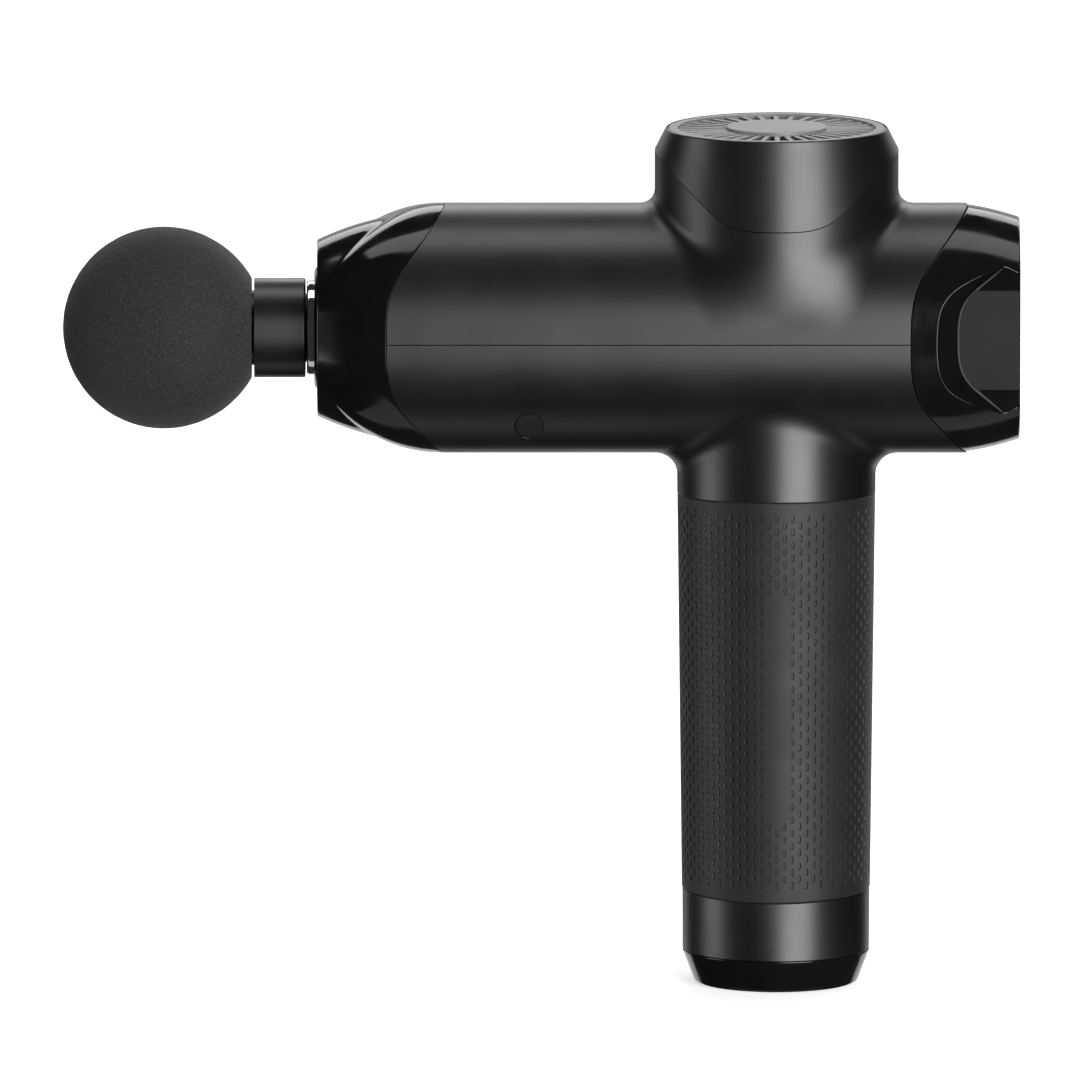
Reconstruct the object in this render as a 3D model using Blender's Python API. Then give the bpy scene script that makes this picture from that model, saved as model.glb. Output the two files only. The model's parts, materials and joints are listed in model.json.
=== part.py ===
"""A cordless massage gun, modelled piece by piece.

The handle stands on its base at the world's origin, with its axis up +Z.
The barrel lies along X and the massage head points towards -X.
Every number below is in millimetres or degrees, and MM turns it into metres.
"""

import math

import bmesh
import bpy

MM = 0.001
WELD = 0.000001  # metres: points closer than this are one point
GAP = 0.3  # clearance between neighbouring pieces
HALF_GAP = GAP / 2
BEYOND = 40.0  # how far a cutter runs past what it cuts

# Sides of a round piece
FINE = 32
MEDIUM = 22
COARSE = 12
TINY = 8

# Outer form
AXIS_HEIGHT = 158.4
BARREL_RADIUS = 30.0
DOME_RADIUS = 29.2
NECK_RADIUS = 23.8
WALL = 2.4
BARREL_BORE = BARREL_RADIUS - WALL
DOME_BORE = DOME_RADIUS - WALL

# Seams: flat in the middle, then straight and slanting, seen from the side
FRONT_SEAM_X = -93.4
REAR_SEAM_X = 31.9
COVER_SEAM = {"blend": 18.0, "slope": 0.79, "power": 3.3}
CAP_SEAM_RISE = 27.0
CAP_SEAM = {"blend": 16.0, "slope": 0.92, "power": 3.63}
GRIP_TOP = 118.8
GRIP_BOTTOM = 22.7
BASE_SEAM = 8.0

# Front cover: radius at parts of the way from its front rim to its seam, along the top and the bottom
NOSE_FRONT = -110.1
NOSE_RIM = 21.4
NOSE_LOBES = (
    (0.0, NOSE_RIM),
    (0.21, 23.9),
    (0.40, 25.6),
    (0.55, 26.6),
    (0.65, 28.0),
    (0.78, 29.2),
    (1.0, BARREL_RADIUS),
)
NOSE_HOLE = 15.1
BEZEL_INNER = 11.9
BEZEL_OUTER = 14.8
BEZEL_FRONT = -110.8
BEZEL_BACK = -104.3

# Massage head and plunger
BALL_RADIUS = 24.5
BALL_X = -146.6
SHANK_RADIUS = 11.95
SHANK_FRONT = -125.3
SHANK_BACK = -112.9
CORE_RADIUS = 9.0
CORE_FRONT = -150.0
STEM_RADIUS = 8.2
STEM_BACK = -90.0
O_RING_XS = {"head_o_ring_front": -106.45, "head_o_ring_rear": -97.45}
O_RING_RADIUS = 7.65
O_RING_THICKNESS = 1.3
PLUNGER_RADIUS = 11.0
PLUNGER_FRONT = -112.6
PLUNGER_BACK = -56.0
SOCKET_RADIUS = 8.5
SOCKET_FLOOR = -89.3
PLUNGER_WEB = 4.0
PLUNGER_BORE = 9.3
CROSS_PIN_X = -73.0
CROSS_PIN_RADIUS = 1.5

# Drive: a crank pin on the motor shaft works in a cross slot behind the plunger
CRANK_THROW = 5.0
CRANK_BOTTOM = 163.5
CRANK_TOP = 169.8
CRANK_PIN_RADIUS = 2.5
ROLLER_RADIUS = 6.5
YOKE_BOTTOM = 154.9
YOKE_TOP = 161.9
SLOT_HALF_X = 7.65
SLOT_HALF_Y = 12.1
YOKE_RAIL = 3.05
ROD_RADIUS = 4.7

# Motor and its frame
SHAFT_RADIUS = 2.5
SHAFT_BORE = SHAFT_RADIUS + GAP
PLATE_BOTTOM = 170.8
PLATE_TOP = 173.8
PLATE_RADIUS = 26.3
BEARING_RADIUS = 5.0
BEARING_TUBE = 7.6
BEARING_TUBE_TOP = 190.5
STATOR_RADIUS = 19.8
STATOR_TEETH = 9
ROTOR_RADIUS = 24.2
ROTOR_WALL = 1.9
ROTOR_BOTTOM = 176.4
ROTOR_TOP = 193.2
FAN_BLADES = 9
GUIDE_RADIUS = 14.5
GUIDE_BORE = 12.8
GUIDE_FRONT = -100.0
GUIDE_BACK = -52.0
RUNNING_FIT = 0.06

# Fasteners
SCREW_RADIUS = 1.4
SCREW_HEAD = 2.4
SCREW_HEAD_HEIGHT = 1.5
SCREW_HOLE = SCREW_RADIUS + GAP
SIDE_SCREW_X = -59.3
SIDE_SCREW_DROP = 20.8
SIDE_HOLE = 3.6
SIDE_BOSS_RADIUS = 4.6
SIDE_LEDGE = 15.5
PLATE_SCREW_Y = 23.4
PLATE_BOSS_RADIUS = 4.2
PLATE_BOSS_BOTTOM = 166.0

# Handle
TUBE_RADIUS = 21.2
TUBE_BORE = 20.1
TUBE_BOTTOM = 13.5
TUBE_TOP = 148.5
SLEEVE_BORE = TUBE_RADIUS + GAP
CELL_RADIUS = 9.1
CELL_LENGTH = 65.0
CELL_RING = 10.75
CELL_LAYERS = (13.5, 80.5)
BASE_RADIUS = 22.4
FOOT_RADIUS = 19.6
FOOT_PLATE = 3.0
BASE_POST_RADIUS = 3.2
BASE_RECESS_RADIUS = 3.0
JACK_X = 10.0
JACK_HALF = 4.5
INLET_RADIUS = 3.6
BASE_SCREW_RING = 15.0
BASE_SCREW_ANGLE = 120.0

# Top vent
CAP_TOP = 207.0
CAP_RIM = 26.7
CAP_SHOULDER = 201.0
SEAT_RADIUS = 24.6
SEAT_TOP = 204.9
SEAT_BOTTOM = 203.2
VENT_TOP = 206.9
VENT_RADIUS = 26.0
SPOKES = 36
SPOKE_WIDTH = 1.25
SLOT_INNER = 13.0
SLOT_OUTER = 23.7
BADGE_RADIUS = 12.0
BADGE_TOP = 207.2

# Rear controls
REAR_FACE_X = 58.2
LENS_RADIUS = 19.0
BUTTON_RADIUS = 6.5
WINDOW_X = 43.4
WINDOW_HALF_Z = 12.0
WINDOW_FLOOR_Y = 21.0
WINDOW_CORNER = 4.5
PANEL_RECESS = 1.2
REAR_EDGE = 26.6
LENS_SEAT_X = 55.6
LENS_SEAT_BACK = 54.2
LENS_SEAT_HOLE = 17.8

COLOURS = {
    "satin_black": ((0.018, 0.018, 0.020), 0.34, 0.0),
    "gloss_black": ((0.006, 0.006, 0.007), 0.08, 0.0),
    "matt_grey": ((0.030, 0.030, 0.031), 0.60, 0.0),
    "rubber_black": ((0.022, 0.022, 0.023), 0.62, 0.0),
    "foam_black": ((0.018, 0.018, 0.019), 0.85, 0.0),
    "vent_grey": ((0.33, 0.33, 0.34), 0.42, 0.2),
    "chrome": ((0.80, 0.80, 0.82), 0.08, 1.0),
    "steel": ((0.55, 0.55, 0.57), 0.30, 1.0),
    "aluminium": ((0.62, 0.62, 0.64), 0.38, 1.0),
    "magnet": ((0.16, 0.16, 0.17), 0.35, 0.9),
    "copper": ((0.55, 0.25, 0.12), 0.40, 0.9),
    "bush_white": ((0.62, 0.61, 0.58), 0.45, 0.0),
    "cell_blue": ((0.03, 0.10, 0.32), 0.35, 0.0),
    "board_green": ((0.01, 0.09, 0.04), 0.45, 0.0),
    "fibre": ((0.60, 0.52, 0.36), 0.70, 0.0),
    "inner_plastic": ((0.05, 0.05, 0.055), 0.55, 0.0),
    "light_guide": ((0.75, 0.80, 0.82), 0.30, 0.0),
    "lead_red": ((0.45, 0.01, 0.01), 0.40, 0.0),
    "lead_black": ((0.01, 0.01, 0.01), 0.40, 0.0),
    "ribbon": ((0.55, 0.28, 0.06), 0.35, 0.0),
}


# ---------------------------------------------------------------- helpers


def clear_scene():
    for obj in list(bpy.data.objects):
        bpy.data.objects.remove(obj, do_unlink=True)


def material(name):
    found = bpy.data.materials.get(name)
    if found:
        return found
    colour, roughness, metallic = COLOURS[name]
    made = bpy.data.materials.new(name)
    made.use_nodes = True
    shader = made.node_tree.nodes["Principled BSDF"]
    shader.inputs["Base Color"].default_value = (*colour, 1.0)
    shader.inputs["Roughness"].default_value = roughness
    shader.inputs["Metallic"].default_value = metallic
    return made


def empty(name, location=(0.0, 0.0, 0.0), rotation=(0.0, 0.0, 0.0), parent=None):
    obj = bpy.data.objects.new(name, None)
    obj.location = [value * MM for value in location]
    obj.rotation_euler = [math.radians(angle) for angle in rotation]
    obj.parent = parent
    bpy.context.collection.objects.link(obj)
    return obj


def to_mesh(bm, name):
    bmesh.ops.recalc_face_normals(bm, faces=bm.faces)
    mesh = bpy.data.meshes.new(name)
    bm.to_mesh(mesh)
    bm.free()
    mesh.shade_smooth()
    mesh.set_sharp_from_angle(angle=math.radians(35))
    return mesh


def place(name, mesh, parent, location=(0.0, 0.0, 0.0), rotation=(0.0, 0.0, 0.0)):
    obj = bpy.data.objects.new(name, mesh)
    obj.location = [value * MM for value in location]
    obj.rotation_euler = [math.radians(angle) for angle in rotation]
    obj.parent = parent
    bpy.context.collection.objects.link(obj)
    return obj


def piece(name, bm, colour, parent, location=(0.0, 0.0, 0.0), rotation=(0.0, 0.0, 0.0)):
    """One finished sub-part with its own material."""
    mesh = to_mesh(bm, name)
    mesh.materials.append(material(colour))
    return place(name, mesh, parent, location, rotation)


def guide(name, bm, parent, location=(0.0, 0.0, 0.0), rotation=(0.0, 0.0, 0.0)):
    """A hidden solid that only shapes other pieces."""
    obj = place(name, to_mesh(bm, name), parent, location, rotation)
    obj.hide_render = True
    obj.display_type = "WIRE"
    return obj


def combine(obj, others, operation):
    for other in others:
        change = obj.modifiers.new(other.name, "BOOLEAN")
        change.operation = operation
        change.solver = "EXACT"
        change.object = other


def unite(obj, *others):
    combine(obj, others, "UNION")


def subtract(obj, *others):
    combine(obj, others, "DIFFERENCE")


def intersect(obj, *others):
    combine(obj, others, "INTERSECT")


def turned(profile, segments, ring=False):
    """Spin (radius, height) points about Z. A ring's profile closes on itself."""
    bm = bmesh.new()
    points = [bm.verts.new((r * MM, 0.0, h * MM)) for r, h in profile]
    lines = [bm.edges.new(pair) for pair in zip(points, points[1:])]
    if ring:
        lines.append(bm.edges.new((points[-1], points[0])))
    bmesh.ops.spin(
        bm,
        geom=points + lines,
        cent=(0, 0, 0),
        axis=(0, 0, 1),
        angle=math.tau,
        steps=segments,
        use_merge=True,
    )
    bmesh.ops.remove_doubles(bm, verts=bm.verts, dist=WELD)
    dissolve_flat_centres(bm)
    return bm


def dissolve_flat_centres(bm):
    """Make one face of each flat end that the spin left as a fan."""
    bm.normal_update()
    centres = []
    for point in bm.verts:
        if point.co.xy.length < WELD and all(abs(face.normal.z) > 0.999 for face in point.link_faces):
            centres.append(point)
    bmesh.ops.dissolve_verts(bm, verts=centres)


def rod(radius, low, high, segments):
    return turned([(0, low), (radius, low), (radius, high), (0, high)], segments)


def tube(inner, outer, low, high, segments):
    loop = [(inner, low), (outer, low), (outer, high), (inner, high)]
    return turned(loop, segments, ring=True)


def extruded(outline, low, high):
    """A plate between two heights, from (x, y) points."""
    bm = bmesh.new()
    face = bm.faces.new([bm.verts.new((x * MM, y * MM, low * MM)) for x, y in outline])
    raised = bmesh.ops.extrude_face_region(bm, geom=[face])
    points = [item for item in raised["geom"] if isinstance(item, bmesh.types.BMVert)]
    bmesh.ops.translate(bm, verts=points, vec=(0, 0, (high - low) * MM))
    return bm


def block(low, high):
    """A box between two corners."""
    corners = [(low[0], low[1]), (high[0], low[1]), (high[0], high[1]), (low[0], high[1])]
    return extruded(corners, low[2], high[2])


def arc(radius, start, end, steps):
    """Points along an arc about the origin, angles in degrees, both ends included."""
    angles = [math.radians(start + (end - start) * i / steps) for i in range(steps + 1)]
    return [(radius * math.cos(a), radius * math.sin(a)) for a in angles]


def on_ring(radius, angle):
    return radius * math.cos(math.radians(angle)), radius * math.sin(math.radians(angle))


def seam_offset(distance, blend, slope, power):
    """How far a seam has moved at a distance from its middle: a curve, then a straight line."""
    reach = min(abs(distance), blend)
    curve = slope * blend / power * (reach / blend) ** power
    return curve + slope * (abs(distance) - reach)


def seam_line(shape, steps=5):
    """(distance, offset) points along a seam, from one side to the other."""
    half = [shape["blend"] * i / steps for i in range(1, steps + 1)] + [BEYOND]
    distances = [-d for d in reversed(half)] + [0.0] + half
    return [(d, seam_offset(d, **shape)) for d in distances]


def cover_cutter(name, middle_x, side, parent):
    """All space on one side of a cover's seam; the outline is drawn in the XZ plane.

    side is -1 for what lies towards the head and +1 for what lies towards the rear.
    """
    line = [(middle_x + offset, height) for height, offset in seam_line(COVER_SEAM)]
    far = middle_x + side * (BEYOND + 160.0)
    outline = line + [(far, BEYOND), (far, -BEYOND)]
    return guide(name, extruded(outline, -BEYOND, BEYOND), parent, rotation=(90, 0, 0))


# ---------------------------------------------------------------- housings


def make_barrel_guides(level, barrel):
    """Cutters that the housings and covers share."""
    far = 200.0
    return {
        "bore": guide("cut_barrel_bore", rod(BARREL_BORE, -far, far, FINE), barrel),
        "before_front": cover_cutter("cut_before_front_seam", FRONT_SEAM_X + HALF_GAP, -1, level),
        "before_rear": cover_cutter("cut_before_rear_seam", REAR_SEAM_X + HALF_GAP, -1, level),
        "behind_rear": cover_cutter("cut_behind_rear_seam", REAR_SEAM_X - HALF_GAP, 1, level),
        "below": guide(
            "cut_below_middle",
            block((-far, -BEYOND, -BEYOND), (far, BEYOND, HALF_GAP)),
            level,
        ),
        "above": guide(
            "cut_above_middle",
            block((-far, -BEYOND, -HALF_GAP), (far, BEYOND, BEYOND)),
            level,
        ),
    }


def cap_seam_cutter(name, side, shift, level):
    """All space above (+1) or below (-1) the top cap's seam."""
    line = [(x, CAP_SEAM_RISE + shift + offset) for x, offset in seam_line(CAP_SEAM)]
    far = CAP_SEAM_RISE + side * 2 * BEYOND
    outline = line + [(BEYOND, far), (-BEYOND, far)]
    return guide(name, extruded(outline, -BEYOND, BEYOND), level, rotation=(90, 0, 0))


def make_upper_housing(axis, level, barrel, cuts):
    shell = piece("upper_housing", rod(BARREL_RADIUS, -100, 60, FINE), "satin_black", barrel)
    dome = guide("add_dome", rod(DOME_RADIUS, AXIS_HEIGHT, AXIS_HEIGHT + 60, FINE), axis)
    unite(shell, dome)
    dome_bore = guide("cut_dome_bore", rod(DOME_BORE, AXIS_HEIGHT - 6, AXIS_HEIGHT + 70, FINE), axis)
    above_cap = cap_seam_cutter("cut_above_cap_seam", 1, -HALF_GAP, level)
    subtract(shell, cuts["bore"], dome_bore)
    for side, sign in (("left", -1), ("right", 1)):
        spot = (0, sign * PLATE_SCREW_Y, 0)
        boss_rod = rod(PLATE_BOSS_RADIUS, PLATE_BOSS_BOTTOM, PLATE_BOTTOM - GAP, COARSE)
        boss = guide(f"add_plate_boss_{side}", boss_rod, axis, spot)
        hole = guide(f"cut_plate_boss_{side}", rod(SCREW_HOLE, 150, 180, TINY), axis, spot)
        unite(shell, boss)
        subtract(shell, hole)
    subtract(shell, cuts["before_front"], cuts["behind_rear"], cuts["below"], above_cap)


def make_lower_housing(axis, level, barrel, cuts):
    shell = piece("lower_housing", rod(BARREL_RADIUS, -101, 61, FINE), "satin_black", barrel)
    neck = guide("add_neck", rod(NECK_RADIUS, GRIP_TOP + HALF_GAP, AXIS_HEIGHT - 8, FINE), axis)
    neck_bore = guide("cut_neck_bore", rod(SLEEVE_BORE, GRIP_TOP - 10, AXIS_HEIGHT - 7, FINE), axis)
    unite(shell, neck)
    subtract(shell, cuts["bore"], neck_bore)
    limit = guide("keep_inside_lower", rod(BARREL_RADIUS - 1, -111, 71, FINE), barrel)
    for side, sign in (("left", -1), ("right", 1)):
        turn = (-90 * sign, 0, 0)
        spot = (SIDE_SCREW_X, 0, -SIDE_SCREW_DROP)
        boss = guide(f"add_side_boss_{side}", rod(SIDE_BOSS_RADIUS, 13.2, 24, COARSE), level, spot, turn)
        intersect(boss, limit)
        unite(shell, boss)
        steps = [(0, 12), (SCREW_HOLE, 12), (SCREW_HOLE, SIDE_LEDGE), (SIDE_HOLE, SIDE_LEDGE)]
        steps += [(SIDE_HOLE, BEYOND), (0, BEYOND)]
        subtract(shell, guide(f"cut_side_hole_{side}", turned(steps, COARSE), level, spot, turn))
    subtract(shell, cuts["before_front"], cuts["behind_rear"], cuts["above"])


def make_top_cap(axis, level):
    bottom = AXIS_HEIGHT + 16
    outline = [
        (DOME_RADIUS, bottom),
        (DOME_RADIUS, CAP_SHOULDER),
        (CAP_RIM, CAP_TOP),
        (VENT_RADIUS + GAP, CAP_TOP),
        (VENT_RADIUS + GAP, SEAT_TOP),
        (SEAT_RADIUS, SEAT_TOP),
        (SEAT_RADIUS, SEAT_BOTTOM),
        (DOME_BORE, CAP_SHOULDER),
        (DOME_BORE, bottom),
    ]
    cap = piece("top_cap", turned(outline, FINE, ring=True), "satin_black", axis)
    subtract(cap, cap_seam_cutter("cut_below_cap_seam", -1, HALF_GAP, level))


def make_vent_grille(axis):
    """A flat ring and a hub, joined by straight spokes, with a pocket for the badge."""
    bm = bmesh.new()
    rings = []
    for radius in (0.0, SLOT_INNER, SLOT_OUTER, VENT_RADIUS):
        if radius == 0.0:
            rings.append(bm.verts.new((0, 0, 0)))
            continue
        half = math.degrees(math.asin(SPOKE_WIDTH / 2 / radius))
        ring = []
        for spoke in range(SPOKES):
            for edge in (-half, half):
                x, y = on_ring(radius, 360 * spoke / SPOKES + edge)
                ring.append(bm.verts.new((x * MM, y * MM, 0)))
        rings.append(ring)
    centre, inner, outer, rim = rings
    count = len(inner)
    for i in range(count):
        after = (i + 1) % count
        bm.faces.new((centre, inner[i], inner[after]))
        bm.faces.new((outer[i], rim[i], rim[after], outer[after]))
        if i % 2 == 0:
            bm.faces.new((inner[i], outer[i], outer[after], inner[after]))
    grille = piece("vent_grille", bm, "vent_grey", axis, (0, 0, VENT_TOP))
    solid = grille.modifiers.new("thickness", "SOLIDIFY")
    solid.thickness = 1.7 * MM
    solid.offset = -1.0
    pocket = guide("cut_badge_pocket", rod(BADGE_RADIUS + GAP, VENT_TOP - 0.9, 220, MEDIUM), axis)
    subtract(grille, pocket)


def make_vent_badge(axis):
    edge = 0.3
    profile = [
        (0, VENT_TOP - 0.6),
        (BADGE_RADIUS, VENT_TOP - 0.6),
        (BADGE_RADIUS, BADGE_TOP - edge),
        (BADGE_RADIUS - edge, BADGE_TOP),
        (0, BADGE_TOP),
    ]
    piece("vent_badge", turned(profile, MEDIUM), "vent_grey", axis)


def nose_radius(t, angle):
    """The nose's outer radius: t runs from the front rim (0) to the seam (1).

    Above and below it has two lobes with a crease between them. At the sides it is one smooth curve.
    """
    lobes = NOSE_LOBES
    for (t0, r0), (t1, r1) in zip(lobes, lobes[1:]):
        if t <= t1:
            break
    lobed = r0 + (r1 - r0) * (t - t0) / (t1 - t0)
    smooth = NOSE_RIM + (BARREL_RADIUS - NOSE_RIM) * math.sin(t * math.pi / 2)
    share = min(max((abs(math.sin(angle)) - 0.4) / 0.5, 0.0), 1.0)
    return smooth + (lobed - smooth) * share


def nose_ring(bm, t, angles, front, inset):
    """One loop of points round the nose, t of the way from a front plane to the seam."""
    ring = []
    for angle in angles:
        height = (BARREL_RADIUS - inset) * math.sin(angle)
        seam = FRONT_SEAM_X - GAP + seam_offset(height, **COVER_SEAM)
        x = front + t * (seam - front)
        whole = (x - NOSE_FRONT) / (seam - NOSE_FRONT)
        radius = nose_radius(whole, angle) - inset
        ring.append(bm.verts.new((-radius * math.sin(angle) * MM, radius * math.cos(angle) * MM, x * MM)))
    return ring


def make_front_cover(barrel):
    """A shell lofted from the round front rim back to the slanting seam."""
    plate_back = NOSE_FRONT + WALL
    bm = bmesh.new()
    angles = [math.tau * i / FINE for i in range(FINE)]
    rings = [nose_ring(bm, t, angles, NOSE_FRONT, 0.0) for t, radius in NOSE_LOBES]
    rings += [nose_ring(bm, t, angles, plate_back, WALL) for t in (1.0, 0.6, 0.25, 0.0)]
    for x in (plate_back, NOSE_FRONT):
        loop = [
            (-NOSE_HOLE * math.sin(angle) * MM, NOSE_HOLE * math.cos(angle) * MM, x * MM)
            for angle in angles
        ]
        rings.append([bm.verts.new(point) for point in loop])
    for ring, following in zip(rings, rings[1:] + rings[:1]):
        for i in range(FINE):
            after = (i + 1) % FINE
            bm.faces.new((ring[i], ring[after], following[after], following[i]))
    piece("front_cover", bm, "gloss_black", barrel)


def make_front_bezel(barrel):
    outline = [
        (BEZEL_INNER, BEZEL_BACK),
        (BEZEL_INNER, BEZEL_FRONT + 0.4),
        (BEZEL_INNER + 0.4, BEZEL_FRONT),
        (BEZEL_OUTER - 0.5, BEZEL_FRONT),
        (BEZEL_OUTER, BEZEL_FRONT + 0.5),
        (BEZEL_OUTER, BEZEL_BACK),
    ]
    piece("front_bezel", turned(outline, MEDIUM, ring=True), "gloss_black", barrel)


def rear_cover_outline(inset):
    """The outside of the rear end, moved inwards by inset."""
    straight = [(BARREL_RADIUS, 25.0), (BARREL_RADIUS, 45.0)]
    points = straight + [(29.25, 49.4), (28.05, 53.7), (REAR_EDGE, REAR_FACE_X)]
    return [(radius - inset, x) for radius, x in points]


def window_plate(sign, inset):
    """The side recess of the rear cover: a box with two rounded front corners, and its turn."""
    corner = WINDOW_CORNER
    near = WINDOW_X + inset
    top = WINDOW_HALF_Z - inset
    bend = [(near + corner - x, top - corner + y) for x, y in arc(corner, 90, 0, 4)]
    low = [(x, -z) for x, z in reversed(bend)]
    outline = bend + low + [(80.0, -top), (80.0, top)]
    floor = WINDOW_FLOOR_Y + inset
    plate = extruded(outline, floor, BEYOND)
    return plate, (-90 * sign, 0, 0)


def make_rear_cover(level, barrel, cuts):
    outline = rear_cover_outline(0.0) + [
        (LENS_RADIUS + GAP, REAR_FACE_X),
        (LENS_RADIUS + GAP, LENS_SEAT_X),
        (LENS_SEAT_HOLE, LENS_SEAT_X),
        (LENS_SEAT_HOLE, LENS_SEAT_BACK),
        (24.9, LENS_SEAT_BACK),
        (26.0, 51.0),
        (BARREL_BORE, 45.0),
        (BARREL_BORE, 25.0),
    ]
    cover = piece("rear_cover", turned(outline, FINE, ring=True), "gloss_black", barrel)
    subtract(cover, cuts["before_rear"])
    for side, sign in (("left", -1), ("right", 1)):
        plate, turn = window_plate(sign, 0.0)
        subtract(cover, guide(f"cut_window_{side}", plate, level, rotation=turn))


def make_side_panels(level, barrel):
    """Matt panels that fill the rear cover's recesses, a little below its surface."""
    body = rear_cover_outline(PANEL_RECESS)[:-1] + [(REAR_EDGE - PANEL_RECESS, REAR_FACE_X - 0.2)]
    profile = [(0, 25.0)] + body + [(0, REAR_FACE_X - 0.2)]
    form = guide("keep_panel_form", turned(profile, FINE), barrel)
    for side, sign in (("left", -1), ("right", 1)):
        plate, turn = window_plate(sign, GAP)
        panel = piece(f"side_panel_{side}", plate, "matt_grey", level, rotation=turn)
        intersect(panel, form)


# ---------------------------------------------------------------- head and plunger


def make_head(barrel):
    start = math.degrees(math.asin((SHANK_RADIUS + 0.7) / BALL_RADIUS))
    sphere = [(r, BALL_X + x) for x, r in arc(BALL_RADIUS, start, 180, 10)]
    sphere[-1] = (0, BALL_X - BALL_RADIUS)
    back = sphere[0][1]
    bore = [(0, CORE_FRONT - GAP), (CORE_RADIUS + GAP, CORE_FRONT - GAP), (CORE_RADIUS + GAP, back)]
    piece("head_ball", turned(bore + sphere, MEDIUM), "foam_black", barrel)

    groove = O_RING_RADIUS - O_RING_THICKNESS / 2 - 0.1
    half = O_RING_THICKNESS / 2 + GAP
    shank = [
        (0, CORE_FRONT),
        (CORE_RADIUS, CORE_FRONT),
        (CORE_RADIUS, SHANK_FRONT),
        (SHANK_RADIUS, SHANK_FRONT),
        (SHANK_RADIUS, SHANK_BACK),
        (STEM_RADIUS, SHANK_BACK),
    ]
    for x in O_RING_XS.values():
        shank += [(STEM_RADIUS, x - half), (groove, x - half), (groove, x + half), (STEM_RADIUS, x + half)]
    hollow = 5.2
    shank += [(STEM_RADIUS, STEM_BACK - 1), (STEM_RADIUS - 1, STEM_BACK), (hollow, STEM_BACK)]
    shank += [(hollow, SHANK_FRONT + 3), (0, SHANK_FRONT + 3)]
    piece("head_shank", turned(shank, MEDIUM), "satin_black", barrel)

    circle = arc(O_RING_THICKNESS / 2, 0, 360, 5)[:-1]
    for name, x in O_RING_XS.items():
        loop = [(O_RING_RADIUS + across, x + along) for across, along in circle]
        piece(name, turned(loop, MEDIUM, ring=True), "rubber_black", barrel)


def make_plunger(level, barrel):
    lip = 0.4
    profile = [
        (0, SOCKET_FLOOR),
        (SOCKET_RADIUS, SOCKET_FLOOR),
        (SOCKET_RADIUS, PLUNGER_FRONT + lip),
        (SOCKET_RADIUS + lip, PLUNGER_FRONT),
        (PLUNGER_RADIUS, PLUNGER_FRONT),
        (PLUNGER_RADIUS + lip, PLUNGER_FRONT + lip),
        (PLUNGER_RADIUS + lip, PLUNGER_FRONT + 1.4),
        (PLUNGER_RADIUS, PLUNGER_FRONT + 1.7),
        (PLUNGER_RADIUS, PLUNGER_BACK),
        (PLUNGER_BORE, PLUNGER_BACK),
        (PLUNGER_BORE, SOCKET_FLOOR + PLUNGER_WEB),
        (0, SOCKET_FLOOR + PLUNGER_WEB),
    ]
    sleeve = piece("plunger_sleeve", turned(profile, FINE), "chrome", barrel)
    spot = (CROSS_PIN_X, 0, 0)
    across = (90, 0, 0)
    pin_hole = rod(CROSS_PIN_RADIUS + GAP, -BEYOND, BEYOND, TINY)
    hole = guide("cut_cross_pin", pin_hole, level, spot, across)
    subtract(sleeve, hole)
    pin = rod(CROSS_PIN_RADIUS, -PLUNGER_RADIUS + 0.4, PLUNGER_RADIUS - 0.4, TINY)
    piece("plunger_pin", pin, "steel", level, spot, across)

    left = CRANK_THROW - SLOT_HALF_X - YOKE_RAIL
    right = CRANK_THROW + SLOT_HALF_X + YOKE_RAIL
    end = SLOT_HALF_Y + YOKE_RAIL
    low = YOKE_BOTTOM - AXIS_HEIGHT
    high = YOKE_TOP - AXIS_HEIGHT
    yoke = piece("plunger_yoke", block((left, -end, low), (right, end, high)), "aluminium", level)
    plug = PLUNGER_BORE - GAP
    shape = [
        (0, SOCKET_FLOOR + PLUNGER_WEB + GAP),
        (plug, SOCKET_FLOOR + PLUNGER_WEB + GAP),
        (plug, -61.0),
        (ROD_RADIUS, -59.0),
        (ROD_RADIUS, left + 1),
        (0, left + 1),
    ]
    unite(yoke, guide("add_yoke_rod", turned(shape, MEDIUM), barrel))
    slot_low = (CRANK_THROW - SLOT_HALF_X, -SLOT_HALF_Y, -BEYOND)
    slot_high = (CRANK_THROW + SLOT_HALF_X, SLOT_HALF_Y, BEYOND)
    subtract(yoke, guide("cut_yoke_slot", block(slot_low, slot_high), level), hole)


# ---------------------------------------------------------------- crank and motor


def make_crank(crank):
    hub = 8.5
    weight = 17.5
    outline = arc(hub, -110, 110, 12) + arc(weight, 120, 240, 8)
    disc = piece("crank_disc", extruded(outline, CRANK_BOTTOM, CRANK_TOP), "steel", crank)
    bore = rod(SHAFT_BORE, CRANK_BOTTOM + 3.2, CRANK_TOP + 5, COARSE)
    socket = rod(CRANK_PIN_RADIUS + GAP, CRANK_BOTTOM - 5, CRANK_BOTTOM + 2.2, COARSE)
    spot = (CRANK_THROW, 0, 0)
    subtract(disc, guide("cut_crank_bore", bore, crank), guide("cut_crank_pin", socket, crank, spot))
    pin = [
        (0, YOKE_BOTTOM - GAP),
        (CRANK_PIN_RADIUS + 1.1, YOKE_BOTTOM - GAP),
        (CRANK_PIN_RADIUS + 1.1, YOKE_BOTTOM + 1),
        (CRANK_PIN_RADIUS, YOKE_BOTTOM + 1),
        (CRANK_PIN_RADIUS, CRANK_BOTTOM + 1.9),
        (0, CRANK_BOTTOM + 1.9),
    ]
    piece("crank_pin", turned(pin, COARSE), "steel", crank, spot)
    roller = tube(CRANK_PIN_RADIUS + GAP, ROLLER_RADIUS, YOKE_BOTTOM + 1.3, YOKE_TOP - 0.4, MEDIUM)
    piece("crank_roller", roller, "steel", crank, spot)


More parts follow.
